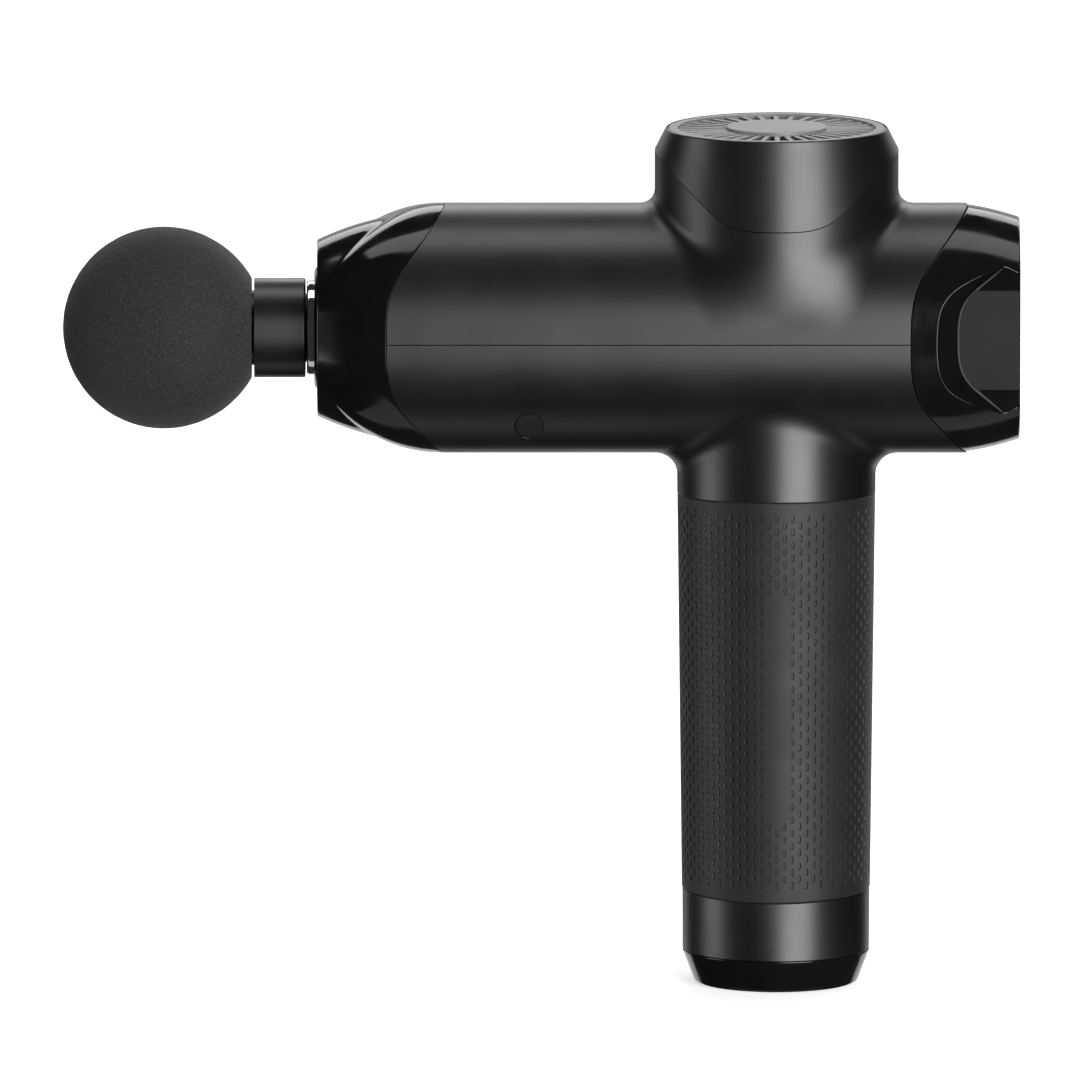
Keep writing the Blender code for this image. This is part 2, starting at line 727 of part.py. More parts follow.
def make_motor(axis, crank):
    piece("motor_shaft", rod(SHAFT_RADIUS, CRANK_BOTTOM + 3.5, 201.5, COARSE), "steel", crank)
    inner = ROTOR_RADIUS - ROTOR_WALL
    lid = 1.7
    can = [
        (SHAFT_BORE, ROTOR_TOP - lid),
        (inner, ROTOR_TOP - lid),
        (inner, ROTOR_BOTTOM),
        (ROTOR_RADIUS, ROTOR_BOTTOM),
        (ROTOR_RADIUS, ROTOR_TOP - 1),
        (ROTOR_RADIUS - 1, ROTOR_TOP),
        (SHAFT_BORE, ROTOR_TOP),
    ]
    piece("motor_rotor", turned(can, MEDIUM, ring=True), "steel", crank)
    magnets = tube(STATOR_RADIUS + 0.5, inner - GAP, ROTOR_BOTTOM + 1, BEARING_TUBE_TOP, MEDIUM)
    piece("magnet_ring", magnets, "magnet", crank)
    for name, low in (("bearing_lower", PLATE_BOTTOM + 0.2), ("bearing_upper", 185.5)):
        ring = tube(SHAFT_RADIUS + 0.2, BEARING_RADIUS, low, low + 3.5, COARSE)
        piece(name, ring, "steel", axis)
    make_stator(axis)
    make_fan(crank)


def make_stator(axis):
    """A laminated core: a hub with T-shaped teeth."""
    hub = 11.0
    neck_half = 2.4
    shoe = 17.2
    pitch = 360 / STATOR_TEETH
    shoe_half = pitch / 2 - 4
    outline = []
    for tooth in range(STATOR_TEETH):
        middle = pitch * tooth
        root = math.degrees(math.asin(neck_half / hub))
        neck = math.degrees(math.asin(neck_half / shoe))
        outline.append(on_ring(hub, middle - root))
        outline.append(on_ring(shoe, middle - neck))
        outline.append(on_ring(shoe, middle - shoe_half))
        outline += arc(STATOR_RADIUS, middle - shoe_half, middle + shoe_half, 2)
        outline.append(on_ring(shoe, middle + shoe_half))
        outline.append(on_ring(shoe, middle + neck))
        outline.append(on_ring(hub, middle + root))
    core = piece("motor_stator", extruded(outline, 177.0, 190.0), "copper", axis)
    bore = rod(BEARING_TUBE + GAP, 170, 195, MEDIUM)
    subtract(core, guide("cut_stator_bore", bore, axis))


def make_fan(crank):
    """A hub and a back plate with straight blades."""
    plate_low = 194.0
    plate_high = 195.2
    blade_top = 202.0
    hub = 6.5
    reach = 22.5
    half = 0.6
    outline = []
    for blade in range(FAN_BLADES):
        middle = 360 * blade / FAN_BLADES
        for radius, side in ((hub, -1), (reach, -1), (reach, 1), (hub, 1)):
            outline.append(on_ring(radius, middle + side * math.degrees(math.asin(half / radius))))
    fan = piece("cooling_fan", extruded(outline, plate_low + 0.5, blade_top), "inner_plastic", crank)
    unite(fan, guide("add_fan_plate", rod(reach - 0.6, plate_low, plate_high, MEDIUM), crank))
    subtract(fan, guide("cut_fan_bore", rod(SHAFT_BORE, 190, 210, COARSE), crank))


def make_drive_frame(axis, level, barrel):
    """The casting that carries the motor and guides the plunger."""
    frame = piece("drive_frame", rod(PLATE_RADIUS, PLATE_BOTTOM, PLATE_TOP, MEDIUM), "aluminium", axis)
    low = PLATE_BOTTOM - AXIS_HEIGHT
    high = PLATE_TOP - AXIS_HEIGHT
    tongue = guide("add_tongue", block((-62, -10, low + 0.2), (-10, 10, high - 0.2)), level)
    bearing_tube = guide("add_bearing_tube", rod(BEARING_TUBE, PLATE_TOP - 1, BEARING_TUBE_TOP, COARSE), axis)
    guide_tube = guide("add_guide_tube", rod(GUIDE_RADIUS, GUIDE_FRONT, GUIDE_BACK, MEDIUM), barrel)
    foot_low = (SIDE_SCREW_X - 4, -12.9, -SIDE_SCREW_DROP - 3)
    foot_high = (SIDE_SCREW_X + 4, 12.9, -GUIDE_BORE - 0.6)
    foot = guide("add_frame_foot", block(foot_low, foot_high), level)
    unite(frame, tongue, bearing_tube, guide_tube, foot)
    side_hole = rod(SCREW_HOLE, -BEYOND, BEYOND, TINY)
    subtract(
        frame,
        guide("cut_guide_bore", rod(GUIDE_BORE, GUIDE_FRONT - 5, GUIDE_BACK + 5, MEDIUM), barrel),
        guide("cut_bearing_bore", rod(BEARING_RADIUS + GAP, 160, 200, COARSE), axis),
        guide("cut_frame_foot", side_hole, level, (SIDE_SCREW_X, 0, -SIDE_SCREW_DROP), (90, 0, 0)),
    )
    for side, sign in (("left", -1), ("right", 1)):
        hole = rod(SCREW_HOLE, 165, 180, TINY)
        subtract(frame, guide(f"cut_plate_hole_{side}", hole, axis, (0, sign * PLATE_SCREW_Y, 0)))


def make_guide_bush(barrel):
    bore = PLUNGER_RADIUS + RUNNING_FIT
    piece("guide_bush", tube(bore, GUIDE_BORE - GAP, -98.0, -70.0, FINE), "bush_white", barrel)


# ---------------------------------------------------------------- fasteners


def screw_mesh(name, length):
    """A pan-head screw with its head's top at height 0, pointing down."""
    profile = [
        (0, -length),
        (SCREW_RADIUS, -length),
        (SCREW_RADIUS, -SCREW_HEAD_HEIGHT),
        (SCREW_HEAD, -SCREW_HEAD_HEIGHT),
        (SCREW_HEAD, -0.4),
        (SCREW_HEAD - 0.5, 0),
        (0, 0),
    ]
    mesh = to_mesh(turned(profile, TINY), name)
    mesh.materials.append(material("steel"))
    return mesh


def make_screws(axis, level):
    plate_mesh = screw_mesh("plate_screw", 9.6)
    side_mesh = screw_mesh("frame_screw", 11.0)
    base_mesh = screw_mesh("base_screw", 11.5)
    for side, sign in (("left", -1), ("right", 1)):
        head_top = PLATE_TOP + GAP + SCREW_HEAD_HEIGHT
        place(f"plate_screw_{side}", plate_mesh, axis, (0, sign * PLATE_SCREW_Y, head_top))
        spot = (SIDE_SCREW_X, sign * 17.3, -SIDE_SCREW_DROP)
        place(f"frame_screw_{side}", side_mesh, level, spot, (-90 * sign, 0, 0))
        x, y = on_ring(BASE_SCREW_RING, sign * BASE_SCREW_ANGLE)
        place(f"base_screw_{side}", base_mesh, axis, (x, y, 0.3), (180, 0, 0))


def make_screw_plugs(level, barrel):
    """Round plugs over the side screws, cut flush with the barrel."""
    skin = guide("keep_plug_skin", rod(BARREL_RADIUS, -70, -50, FINE), barrel)
    for side, sign in (("left", -1), ("right", 1)):
        spot = (SIDE_SCREW_X, 0, -SIDE_SCREW_DROP)
        body = rod(SIDE_HOLE - 0.25, 17.6, 32, COARSE)
        plug = piece(f"screw_plug_{side}", body, "matt_grey", level, spot, (-90 * sign, 0, 0))
        intersect(plug, skin)


# ---------------------------------------------------------------- handle


def make_handle(axis):
    shell = [
        (TUBE_BORE, TUBE_BOTTOM),
        (TUBE_RADIUS, TUBE_BOTTOM),
        (TUBE_RADIUS, TUBE_TOP),
        (TUBE_BORE - 0.9, TUBE_TOP),
        (TUBE_BORE - 0.9, TUBE_TOP - 2.5),
        (TUBE_BORE, TUBE_TOP - 2.5),
    ]
    piece("handle_tube", turned(shell, FINE, ring=True), "inner_plastic", axis)
    grip = [
        (SLEEVE_BORE, GRIP_BOTTOM + HALF_GAP),
        (22.6, GRIP_BOTTOM + HALF_GAP),
        (23.75, GRIP_TOP - HALF_GAP),
        (SLEEVE_BORE, GRIP_TOP - HALF_GAP),
    ]
    piece("grip_sleeve", turned(grip, FINE, ring=True), "rubber_black", axis)


def make_battery(axis):
    cell = [
        (0, 0),
        (CELL_RADIUS, 0),
        (CELL_RADIUS, CELL_LENGTH - 1.0),
        (3.0, CELL_LENGTH - 1.0),
        (3.0, CELL_LENGTH),
        (0, CELL_LENGTH),
    ]
    mesh = to_mesh(turned(cell, COARSE), "battery_cell")
    mesh.materials.append(material("cell_blue"))
    number = 0
    for layer in CELL_LAYERS:
        for angle in (60, 180, 300):
            number += 1
            x, y = on_ring(CELL_RING, angle)
            place(f"battery_cell_{number}", mesh, axis, (x, y, layer + 0.3))
    piece("battery_spacer", rod(19.6, 79.1, 80.4, MEDIUM), "fibre", axis)
    piece("bms_board", rod(11.2, 9.0, 10.4, MEDIUM), "board_green", axis)


def make_base(axis):
    shelf = 13.2
    bore = 13.0
    ring = [
        (bore, BASE_SEAM + HALF_GAP),
        (BASE_RADIUS, BASE_SEAM + HALF_GAP),
        (BASE_RADIUS, GRIP_BOTTOM - HALF_GAP),
        (SLEEVE_BORE, GRIP_BOTTOM - HALF_GAP),
        (SLEEVE_BORE, shelf),
        (bore, shelf),
    ]
    base_ring = piece("base_ring", turned(ring, FINE, ring=True), "satin_black", axis)
    edge = 0.5
    cap = [
        (0, 0),
        (FOOT_RADIUS - edge, 0),
        (FOOT_RADIUS, edge),
        (BASE_RADIUS, BASE_SEAM - HALF_GAP),
        (BASE_RADIUS - 1.5, BASE_SEAM - HALF_GAP),
        (FOOT_RADIUS - edge, FOOT_PLATE),
        (0, FOOT_PLATE),
    ]
    base_cap = piece("base_cap", turned(cap, FINE), "gloss_black", axis)
    for side, sign in (("left", -1), ("right", 1)):
        spot = (*on_ring(BASE_SCREW_RING, sign * BASE_SCREW_ANGLE), 0)
        post = rod(BASE_POST_RADIUS, FOOT_PLATE + GAP, BASE_SEAM + 2, COARSE)
        unite(base_ring, guide(f"add_base_post_{side}", post, axis, spot))
        thread = rod(SCREW_HOLE, -5, 12.4, TINY)
        thread_guide = guide(f"cut_base_thread_{side}", thread, axis, spot)
        recess_rod = rod(BASE_RECESS_RADIUS, -5, 2.1, COARSE)
        recess = guide(f"cut_base_recess_{side}", recess_rod, axis, spot)
        subtract(base_ring, thread_guide)
        subtract(base_cap, thread_guide, recess)
    inlet = guide("cut_charging_inlet", rod(INLET_RADIUS, -5, 5, COARSE), axis, (JACK_X, 0, 0))
    subtract(base_cap, inlet)
    low = FOOT_PLATE + GAP
    high = BASE_SEAM - HALF_GAP
    body = block((-JACK_HALF, -JACK_HALF, low), (JACK_HALF, JACK_HALF, high))
    jack = piece("charge_jack", body, "inner_plastic", axis, (JACK_X, 0, 0))
    socket = tube(1.0, 2.8, -5, high - 0.9, COARSE)
    subtract(jack, guide("cut_jack_socket", socket, axis, (JACK_X, 0, 0)))


# ---------------------------------------------------------------- electronics


def make_rear_controls(level, barrel):
    piece("driver_board", rod(25.0, 36.0, 37.6, MEDIUM), "board_green", barrel)
    piece("display_board", rod(20.0, 50.0, 51.4, MEDIUM), "board_green", barrel)
    lens = tube(BUTTON_RADIUS + 0.4, LENS_RADIUS, 55.9, 57.6, MEDIUM)
    piece("rear_lens", lens, "gloss_black", barrel)
    piece("led_ring", tube(8.6, 11.4, 51.7, 55.6, MEDIUM), "light_guide", barrel)
    piece("power_switch", block((51.7, -3, -3), (53.9, 3, 3)), "inner_plastic", level)
    flange = BUTTON_RADIUS + 0.9
    button = [
        (0, 54.6),
        (flange, 54.6),
        (flange, 55.5),
        (BUTTON_RADIUS, 55.5),
        (BUTTON_RADIUS, 57.6),
        (BUTTON_RADIUS - 0.4, 58.0),
        (0, 58.0),
    ]
    piece("power_button", turned(button, MEDIUM), "satin_black", barrel)


def make_ribbon(level):
    """A flat flex lead in a shallow S between the two rear boards."""
    start = 37.9
    end = 49.7
    half_width = 4.0
    thickness = 0.5
    steps = 8
    middle = []
    for i in range(steps + 1):
        along = i / steps
        middle.append((start + (end - start) * along, 11.0 + 2.0 * math.sin(math.tau * along)))
    top = [(x, z + thickness / 2) for x, z in middle]
    bottom = [(x, z - thickness / 2) for x, z in reversed(middle)]
    strip = extruded(top + bottom, -half_width, half_width)
    piece("display_ribbon", strip, "ribbon", level, rotation=(90, 0, 0))


def make_battery_leads(axis):
    """Two leads from the top of the battery to the driver board."""
    for name, sign in (("battery_lead_red", 1), ("battery_lead_black", -1)):
        start = (6.0, sign * 9.0, 146.3)
        rise = (6.5, sign * 9.0, 154.0)
        pull = (14.0, sign * 7.0, 150.0)
        end = (35.7, sign * 7.0, 151.0)
        points = []
        steps = 14
        for i in range(steps + 1):
            t = i / steps
            weights = ((1 - t) ** 3, 3 * t * (1 - t) ** 2, 3 * t * t * (1 - t), t**3)
            corners = (start, rise, pull, end)
            points.append([sum(w * c[k] for w, c in zip(weights, corners)) for k in range(3)])
        curve = bpy.data.curves.new(name, "CURVE")
        curve.dimensions = "3D"
        curve.bevel_depth = 0.85 * MM
        curve.bevel_resolution = 2
        curve.use_fill_caps = True
        spline = curve.splines.new("POLY")
        spline.points.add(len(points) - 1)
        for target, point in zip(spline.points, points):
            target.co = (*[value * MM for value in point], 1.0)
        curve.materials.append(material(name.replace("battery_", "")))
        place(name, curve, axis)


# ---------------------------------------------------------------- assembly


def main():
    clear_scene()
    axis = empty("handle_axis")
    level = empty("barrel_level", (0, 0, AXIS_HEIGHT))
    barrel = empty("barrel_axis", (0, 0, AXIS_HEIGHT), (0, 90, 0))
    crank = empty("crank_axis")
    stroke = empty("stroke_axis", (0, 0, AXIS_HEIGHT), (0, 90, 0))
    stroke_level = empty("stroke_level", (0, 0, AXIS_HEIGHT))
    cuts = make_barrel_guides(level, barrel)
    make_upper_housing(axis, level, barrel, cuts)
    make_lower_housing(axis, level, barrel, cuts)
    make_top_cap(axis, level)
    make_vent_grille(axis)
    make_vent_badge(axis)
    make_front_cover(barrel)
    make_front_bezel(barrel)
    make_rear_cover(level, barrel, cuts)
    make_side_panels(level, barrel)
    make_head(stroke)
    make_plunger(stroke_level, stroke)
    make_crank(crank)
    make_motor(axis, crank)
    make_drive_frame(axis, level, barrel)
    make_guide_bush(barrel)
    make_screws(axis, level)
    make_screw_plugs(level, barrel)
    make_handle(axis)
    make_battery(axis)
    make_base(axis)
    make_rear_controls(level, barrel)
    make_ribbon(level)
    make_battery_leads(axis)


main()
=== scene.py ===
"""The looks of a cordless massage gun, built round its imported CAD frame.

Lengths are in millimetres unless a name says otherwise, and MM turns them into metres. The frame is the
part's own: the handle stands on its base at the origin, +Z is up and the head points along -X.
"""

import json
import math

import bmesh
import bpy
import numpy as np
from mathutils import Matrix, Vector


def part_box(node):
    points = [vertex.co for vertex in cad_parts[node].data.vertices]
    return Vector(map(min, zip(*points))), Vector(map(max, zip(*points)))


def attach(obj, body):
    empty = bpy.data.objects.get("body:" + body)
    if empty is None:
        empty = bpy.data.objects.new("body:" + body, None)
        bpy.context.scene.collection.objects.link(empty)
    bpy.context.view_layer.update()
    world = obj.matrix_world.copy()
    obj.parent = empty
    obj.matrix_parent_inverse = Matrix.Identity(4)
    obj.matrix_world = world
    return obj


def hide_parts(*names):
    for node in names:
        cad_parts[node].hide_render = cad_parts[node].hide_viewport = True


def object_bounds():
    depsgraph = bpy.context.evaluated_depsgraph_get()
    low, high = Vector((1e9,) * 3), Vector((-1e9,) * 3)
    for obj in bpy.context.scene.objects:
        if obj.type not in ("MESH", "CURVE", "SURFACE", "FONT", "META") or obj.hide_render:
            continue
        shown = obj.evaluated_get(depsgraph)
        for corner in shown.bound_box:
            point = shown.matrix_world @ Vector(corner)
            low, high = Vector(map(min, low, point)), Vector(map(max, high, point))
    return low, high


MM = 0.001

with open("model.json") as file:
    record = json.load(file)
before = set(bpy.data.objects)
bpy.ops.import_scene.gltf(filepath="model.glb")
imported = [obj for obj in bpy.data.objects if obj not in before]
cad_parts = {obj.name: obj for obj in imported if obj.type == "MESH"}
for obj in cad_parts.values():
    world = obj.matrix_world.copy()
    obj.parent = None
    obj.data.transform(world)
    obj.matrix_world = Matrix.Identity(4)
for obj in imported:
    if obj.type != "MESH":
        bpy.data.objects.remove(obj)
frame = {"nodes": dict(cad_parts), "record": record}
cad_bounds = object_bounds()


# ---- sizes from the frame


def box(node):
    """Lowest and highest corner of a CAD node, in millimetres."""
    low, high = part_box(node)
    return Vector(low) / MM, Vector(high) / MM


def middle_of(node):
    return [(low + high) / 2 for low, high in zip(*box(node))]


def half_length(node):
    """Half of a CAD node's extent along the barrel."""
    low, high = box(node)
    return (high.x - low.x) / 2


def turned_radius(node):
    """Radius of a CAD node that is round about the barrel's axis."""
    low, high = box(node)
    return (high.z - low.z) / 2


BARREL = (cad_bounds[1].y - cad_bounds[0].y) / 2 / MM
AXIS = middle_of("plunger_sleeve")[2]
DOME = box("top_cap")[1].y
CAP_TOP = box("top_cap")[1].z
GRIP_LOW, GRIP_HIGH = box("grip_sleeve")
NECK = GRIP_HIGH.x + 0.05
WALL = 2.2
SEAM_GAP = 0.12
LIP = 0.11  # radius of the edges along the seams

FRONT_SEAM = -93.4
REAR_SEAM = 31.9
COVER_SEAM = {"blend": 18.0, "slope": 0.79, "power": 3.3}
CAP_SEAM_RISE = 27.0
CAP_SEAM = {"blend": 16.0, "slope": 0.92, "power": 3.63}
GRIP_SEAM_BOW = 0.7
BASE_SEAM_BOW = 0.8


def seam_offset(distance, blend, slope, power):
    """How far a seam has moved at a distance from its middle: a curve, then a straight line."""
    distance = np.abs(distance)
    reach = np.minimum(distance, blend)
    return slope * blend / power * (reach / blend) ** power + slope * (distance - reach)


def front_seam(z):
    return FRONT_SEAM + seam_offset(z - AXIS, **COVER_SEAM)


def rear_seam(z):
    return REAR_SEAM + seam_offset(z - AXIS, **COVER_SEAM)


def cap_seam(x):
    return AXIS + CAP_SEAM_RISE + seam_offset(x, **CAP_SEAM)


def bowed(height, bow, x, y):
    """A seam round the handle that is higher or lower at the sides of the gun than fore and aft."""
    return height + bow * y * y / (x * x + y * y)


def configure(item, **settings):
    """Set several of an item's attributes."""
    for name, value in settings.items():
        setattr(item, name, value)
    return item


# ---- materials

CLOUD = 14.0  # size of the slow changes of shade


class Surface:
    """A Principled material, textured in the object's own coordinates."""

    def __init__(self, name, colour, roughness):
        self.material = bpy.data.materials.new(name)
        self.material.use_nodes = True
        self.tree = self.material.node_tree
        self.feed(self.tree.nodes["Principled BSDF"], {"Base Color": (*colour, 1.0), "Roughness": roughness})
        self.place = self.add("TexCoord").outputs["Object"]

    def feed(self, node, inputs):
        """Give inputs their values, or links from other nodes' outputs."""
        for name, value in inputs.items():
            if isinstance(value, bpy.types.NodeSocket):
                self.tree.links.new(value, node.inputs[name])
            else:
                node.inputs[name].default_value = value

    def add(self, kind, inputs=None, **settings):
        """A new node with its settings and inputs."""
        made = configure(self.tree.nodes.new(f"ShaderNode{kind}"), **settings)
        self.feed(made, inputs or {})
        return made

    def noise(self, size, detail=3.0, stretch=(1.0, 1.0, 1.0)):
        """Noise whose grains are about size millimetres across."""
        place = self.add("Mapping", {"Vector": self.place, "Scale": stretch}).outputs["Vector"]
        inputs = {"Vector": place, "Scale": 1.0 / (size * MM), "Detail": detail}
        return self.add("TexNoise", inputs).outputs["Fac"]

    def spread(self, value, low, high, from_low=0.3, from_high=0.7):
        """Map a texture's value to a range."""
        inputs = {"Value": value, "From Min": from_low, "From Max": from_high, "To Min": low, "To Max": high}
        return self.add("MapRange", inputs).outputs["Result"]

    def tint(self, value, low, high):
        """Colour between two shades by a texture's value."""
        inputs = {"Factor": value, "A": (*low, 1.0), "B": (*high, 1.0)}
        return self.add("Mix", inputs, data_type="RGBA").outputs["Result"]

    def math(self, operation, *values):
        return self.add("Math", dict(enumerate(values)), operation=operation).outputs["Value"]

    def bump(self, value, depth, before=None):
        """A bump of so many millimetres, on top of another if there is one."""
        inputs = {"Strength": 1.0, "Distance": depth * MM, "Height": value}
        if before:
            inputs["Normal"] = before
        return self.add("Bump", inputs).outputs["Normal"]

    def shade(self, colour, roughness, normal, metallic=0.0, specular=0.5, sheen=0.0, sheen_roughness=0.5):
        inputs = {"Base Color": colour, "Roughness": roughness, "Normal": normal, "Metallic": metallic}
        inputs |= {"Specular IOR Level": specular, "Sheen Weight": sheen, "Sheen Roughness": sheen_roughness}
        self.feed(self.tree.nodes["Principled BSDF"], inputs)
        return self


def textured(name, low, high, roughness, grain=0.3, depth=0.01, stretch=(1, 1, 1), **more):
    """A surface with a fine grain in its bump and roughness, and slow clouds in its colour."""
    made = Surface(name, low, roughness[0])
    fine = made.noise(grain, 4.0, stretch)
    slow = made.spread(made.noise(CLOUD, 2.0), 0.0, 0.5, 0.25, 0.75)
    both = made.math("MULTIPLY_ADD", fine, 0.5, slow)
    colour = made.tint(both, low, high)
    return made.shade(colour, made.spread(both, *roughness), made.bump(fine, depth), **more)


def smoked(name, specular, roughness):
    """Smoked gloss plastic, with slight moulding waves."""
    made = Surface(name, (0.003, 0.003, 0.0035), 0.10)
    smear = made.noise(9.0, 3.0)
    waves = made.noise(11.0, 1.0, (0.35, 1.0, 1.0))
    colour = made.tint(smear, (0.0022, 0.0022, 0.0026), (0.0060, 0.0060, 0.0066))
    return made.shade(colour, made.spread(smear, *roughness), made.bump(waves, 0.09), specular=specular)


def foam():
    """Closed-cell foam: small open pores, darkened with painted shade, and paler walls between them."""
    made = Surface("head_foam", (0.02, 0.02, 0.021), 0.85)
    pore = 0.42
    cells = made.add("TexVoronoi", {"Scale": 1.0 / (pore * MM), "Vector": made.place})
    # Darkest in the cells' middles: painted shade in the pores, which the bump below also sinks.
    wall = made.spread(cells.outputs["Distance"], 0.0, 1.0, 0.15, 0.75)
    grain = made.noise(0.5, 5.0)
    value = made.math("MULTIPLY", wall, made.spread(grain, 0.2, 1.0, 0.38, 0.66))
    # Colour from painted pore shade, times random tone from the grain.
    colour = made.tint(value, (0.004, 0.004, 0.0043), (0.034, 0.034, 0.0355))
    rough = made.bump(made.noise(1.2, 3.0), 0.03)
    normal = made.bump(value, 0.09, rough)
    return made.shade(colour, made.spread(grain, 0.72, 0.92), normal, specular=0.35, sheen=0.07)


def make_materials():
    """One material for each of the record's slots."""
    metal = {"metallic": 1.0}
    sheen = {"sheen": 0.12, "sheen_roughness": 0.45}
    satin = (0.0016, 0.0016, 0.0017), (0.0028, 0.0028, 0.0030)
    matt = (0.0095, 0.0095, 0.0100), (0.0125, 0.0125, 0.0130)
    rubber = (0.0058, 0.0058, 0.0061), (0.0092, 0.0092, 0.0096)
    paint = (0.25, 0.25, 0.255), (0.32, 0.32, 0.325)
    chrome = (0.74, 0.74, 0.76), (0.86, 0.86, 0.88)
    steel = (0.42, 0.42, 0.44), (0.58, 0.58, 0.60)
    aluminium = (0.50, 0.50, 0.52), (0.66, 0.66, 0.68)
    magnet = (0.12, 0.12, 0.13), (0.20, 0.20, 0.21)
    copper = (0.50, 0.20, 0.09), (0.68, 0.30, 0.15)
    cell = (0.02, 0.07, 0.26), (0.04, 0.12, 0.36)
    board = (0.008, 0.07, 0.03), (0.014, 0.11, 0.05)
    fibre = (0.48, 0.41, 0.28), (0.66, 0.58, 0.42)
    inner = (0.03, 0.03, 0.034), (0.06, 0.06, 0.065)
    bush = (0.56, 0.55, 0.52), (0.66, 0.65, 0.62)
    guide = (0.62, 0.68, 0.70), (0.78, 0.83, 0.85)
    red = (0.38, 0.008, 0.008), (0.50, 0.014, 0.014)
    dark = (0.008, 0.008, 0.008), (0.014, 0.014, 0.015)
    film = (0.46, 0.22, 0.04), (0.60, 0.32, 0.08)
    surfaces = {
        "satin_black": textured("satin_plastic", *satin, (0.34, 0.39), 0.28, 0.006, specular=0.62),
        "gloss_black": smoked("smoked_plastic", 0.36, (0.07, 0.17)),
        "matt_grey": textured("matt_plastic", *matt, (0.62, 0.72), 0.22, 0.010, specular=0.18),
        "rubber_black": textured("grip_rubber", *rubber, (0.50, 0.60), 0.16, 0.010, specular=0.36, **sheen),
        "foam_black": foam(),
        "vent_grey": textured("vent_paint", *paint, (0.42, 0.52), 0.20, 0.006, metallic=0.2),
        "chrome": textured("chrome_plate", *chrome, (0.05, 0.12), 0.7, 0.001, **metal),
        "steel": textured("ground_steel", *steel, (0.24, 0.40), 0.3, 0.003, (1, 1, 6), **metal),
        "aluminium": textured("cast_aluminium", *aluminium, (0.34, 0.52), 0.5, 0.03, **metal),
        "magnet": textured("magnet_alloy", *magnet, (0.30, 0.45), 0.4, 0.002, **metal),
        "copper": textured("copper_winding", *copper, (0.30, 0.46), 0.5, 0.06, (1, 1, 9), **metal),
        "cell_blue": textured("cell_wrap", *cell, (0.28, 0.38), 0.8, 0.004),
        "board_green": textured("circuit_board", *board, (0.38, 0.52), 0.9, 0.02),
        "fibre": textured("pressed_fibre", *fibre, (0.70, 0.86), 0.5, 0.05),
        "inner_plastic": textured("inner_plastic", *inner, (0.48, 0.60)),
        "bush_white": textured("bush_plastic", *bush, (0.38, 0.50)),
        "light_guide": textured("light_guide", *guide, (0.24, 0.34), 0.6, 0.004),
        "lead_red": textured("red_insulation", *red, (0.34, 0.46)),
        "lead_black": textured("black_insulation", *dark, (0.34, 0.46)),
        "ribbon": textured("ribbon_film", *film, (0.28, 0.40), 0.8, 0.004),
    }
    return {slot: surface.material for slot, surface in surfaces.items()}


# ---- mesh helpers


def new_object(name, data):
    made = bpy.data.objects.new(name, data)
    bpy.context.scene.collection.objects.link(made)
    return made


def add_object(name, points, faces):
    """An object from points in millimetres."""
    mesh = bpy.data.meshes.new(name)
    mesh.from_pydata((np.asarray(points) * MM).tolist(), [], [list(map(int, f)) for f in faces])
    mesh.shade_smooth()
    return new_object(name, mesh)


def values_of(items, name, width, kind=float):
    """One attribute of a mesh's vertices, corners or loops, as an array."""
    out = np.empty(len(items) * width, kind)
    items.foreach_get(name, out)
    return out.reshape(-1, width)


def settle(made):
    """Apply all of an object's modifiers."""
    graph = bpy.context.evaluated_depsgraph_get()
    mesh = bpy.data.meshes.new_from_object(made.evaluated_get(graph))
    made.modifiers.clear()
    made.data = mesh


def soften(made, angle):
    """Smooth shading that keeps edges and flat faces crisp."""
    made.data.shade_smooth()
    made.data.set_sharp_from_angle(angle=math.radians(angle))
    configure(made.modifiers.new("weighted_normals", "WEIGHTED_NORMAL"), keep_sharp=True, weight=60)


def carve(made, cutters):
    """Cut solids out of an object and remove them."""
    for cutter in cutters:
        cut = made.modifiers.new("cut", "BOOLEAN")
        configure(cut, operation="DIFFERENCE", solver="EXACT", object=cutter)
    settle(made)
    for cutter in cutters:
        bpy.data.objects.remove(cutter, do_unlink=True)


def face_outwards(made, weld=None):
    """Turn all faces outwards, after merging points that are closer than the weld."""
    bm = bmesh.new()
    bm.from_mesh(made.data)
    if weld:
        bmesh.ops.remove_doubles(bm, verts=bm.verts, dist=weld * MM)
        bmesh.ops.dissolve_degenerate(bm, edges=bm.edges, dist=weld * MM / 2)
    bmesh.ops.recalc_face_normals(bm, faces=bm.faces)
    bm.to_mesh(made.data)
    bm.free()


def finish_piece(made, slot, *nodes, body="housing"):
    """Give a finished piece its material, its body and the CAD nodes that it stands for."""
    made.data.materials.clear()
    made.data.materials.append(materials[slot])
    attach(made, body)
    if nodes:
        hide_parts(*nodes)
    return made


def crisp_piece(made, slot, *nodes, body="housing", angle=32.0, weld=None):
    """Finish a piece, smooth except at its edges."""
    face_outwards(made, weld)
    soften(made, angle)
    return finish_piece(made, slot, *nodes, body=body)


def rounded(corners, steps=4):
    """A profile with its corners rounded: (across, along, corner radius) points in, points out."""
    out = []
    for i, (x, y, radius) in enumerate(corners):
        if radius <= 0 or i in (0, len(corners) - 1):
            out.append((x, y))
            continue
        here = np.array((x, y), float)
        ways = [np.array(corners[i + k][:2], float) - here for k in (-1, 1)]
        lengths = [np.linalg.norm(way) for way in ways]
        reach = min(radius, *(0.49 * length for length in lengths))
        start, end = (here + way / length * reach for way, length in zip(ways, lengths))
        for k in range(steps + 1):
            t = k / steps
            out.append(tuple((1 - t) ** 2 * start + 2 * t * (1 - t) * here + t * t * end))
    return out


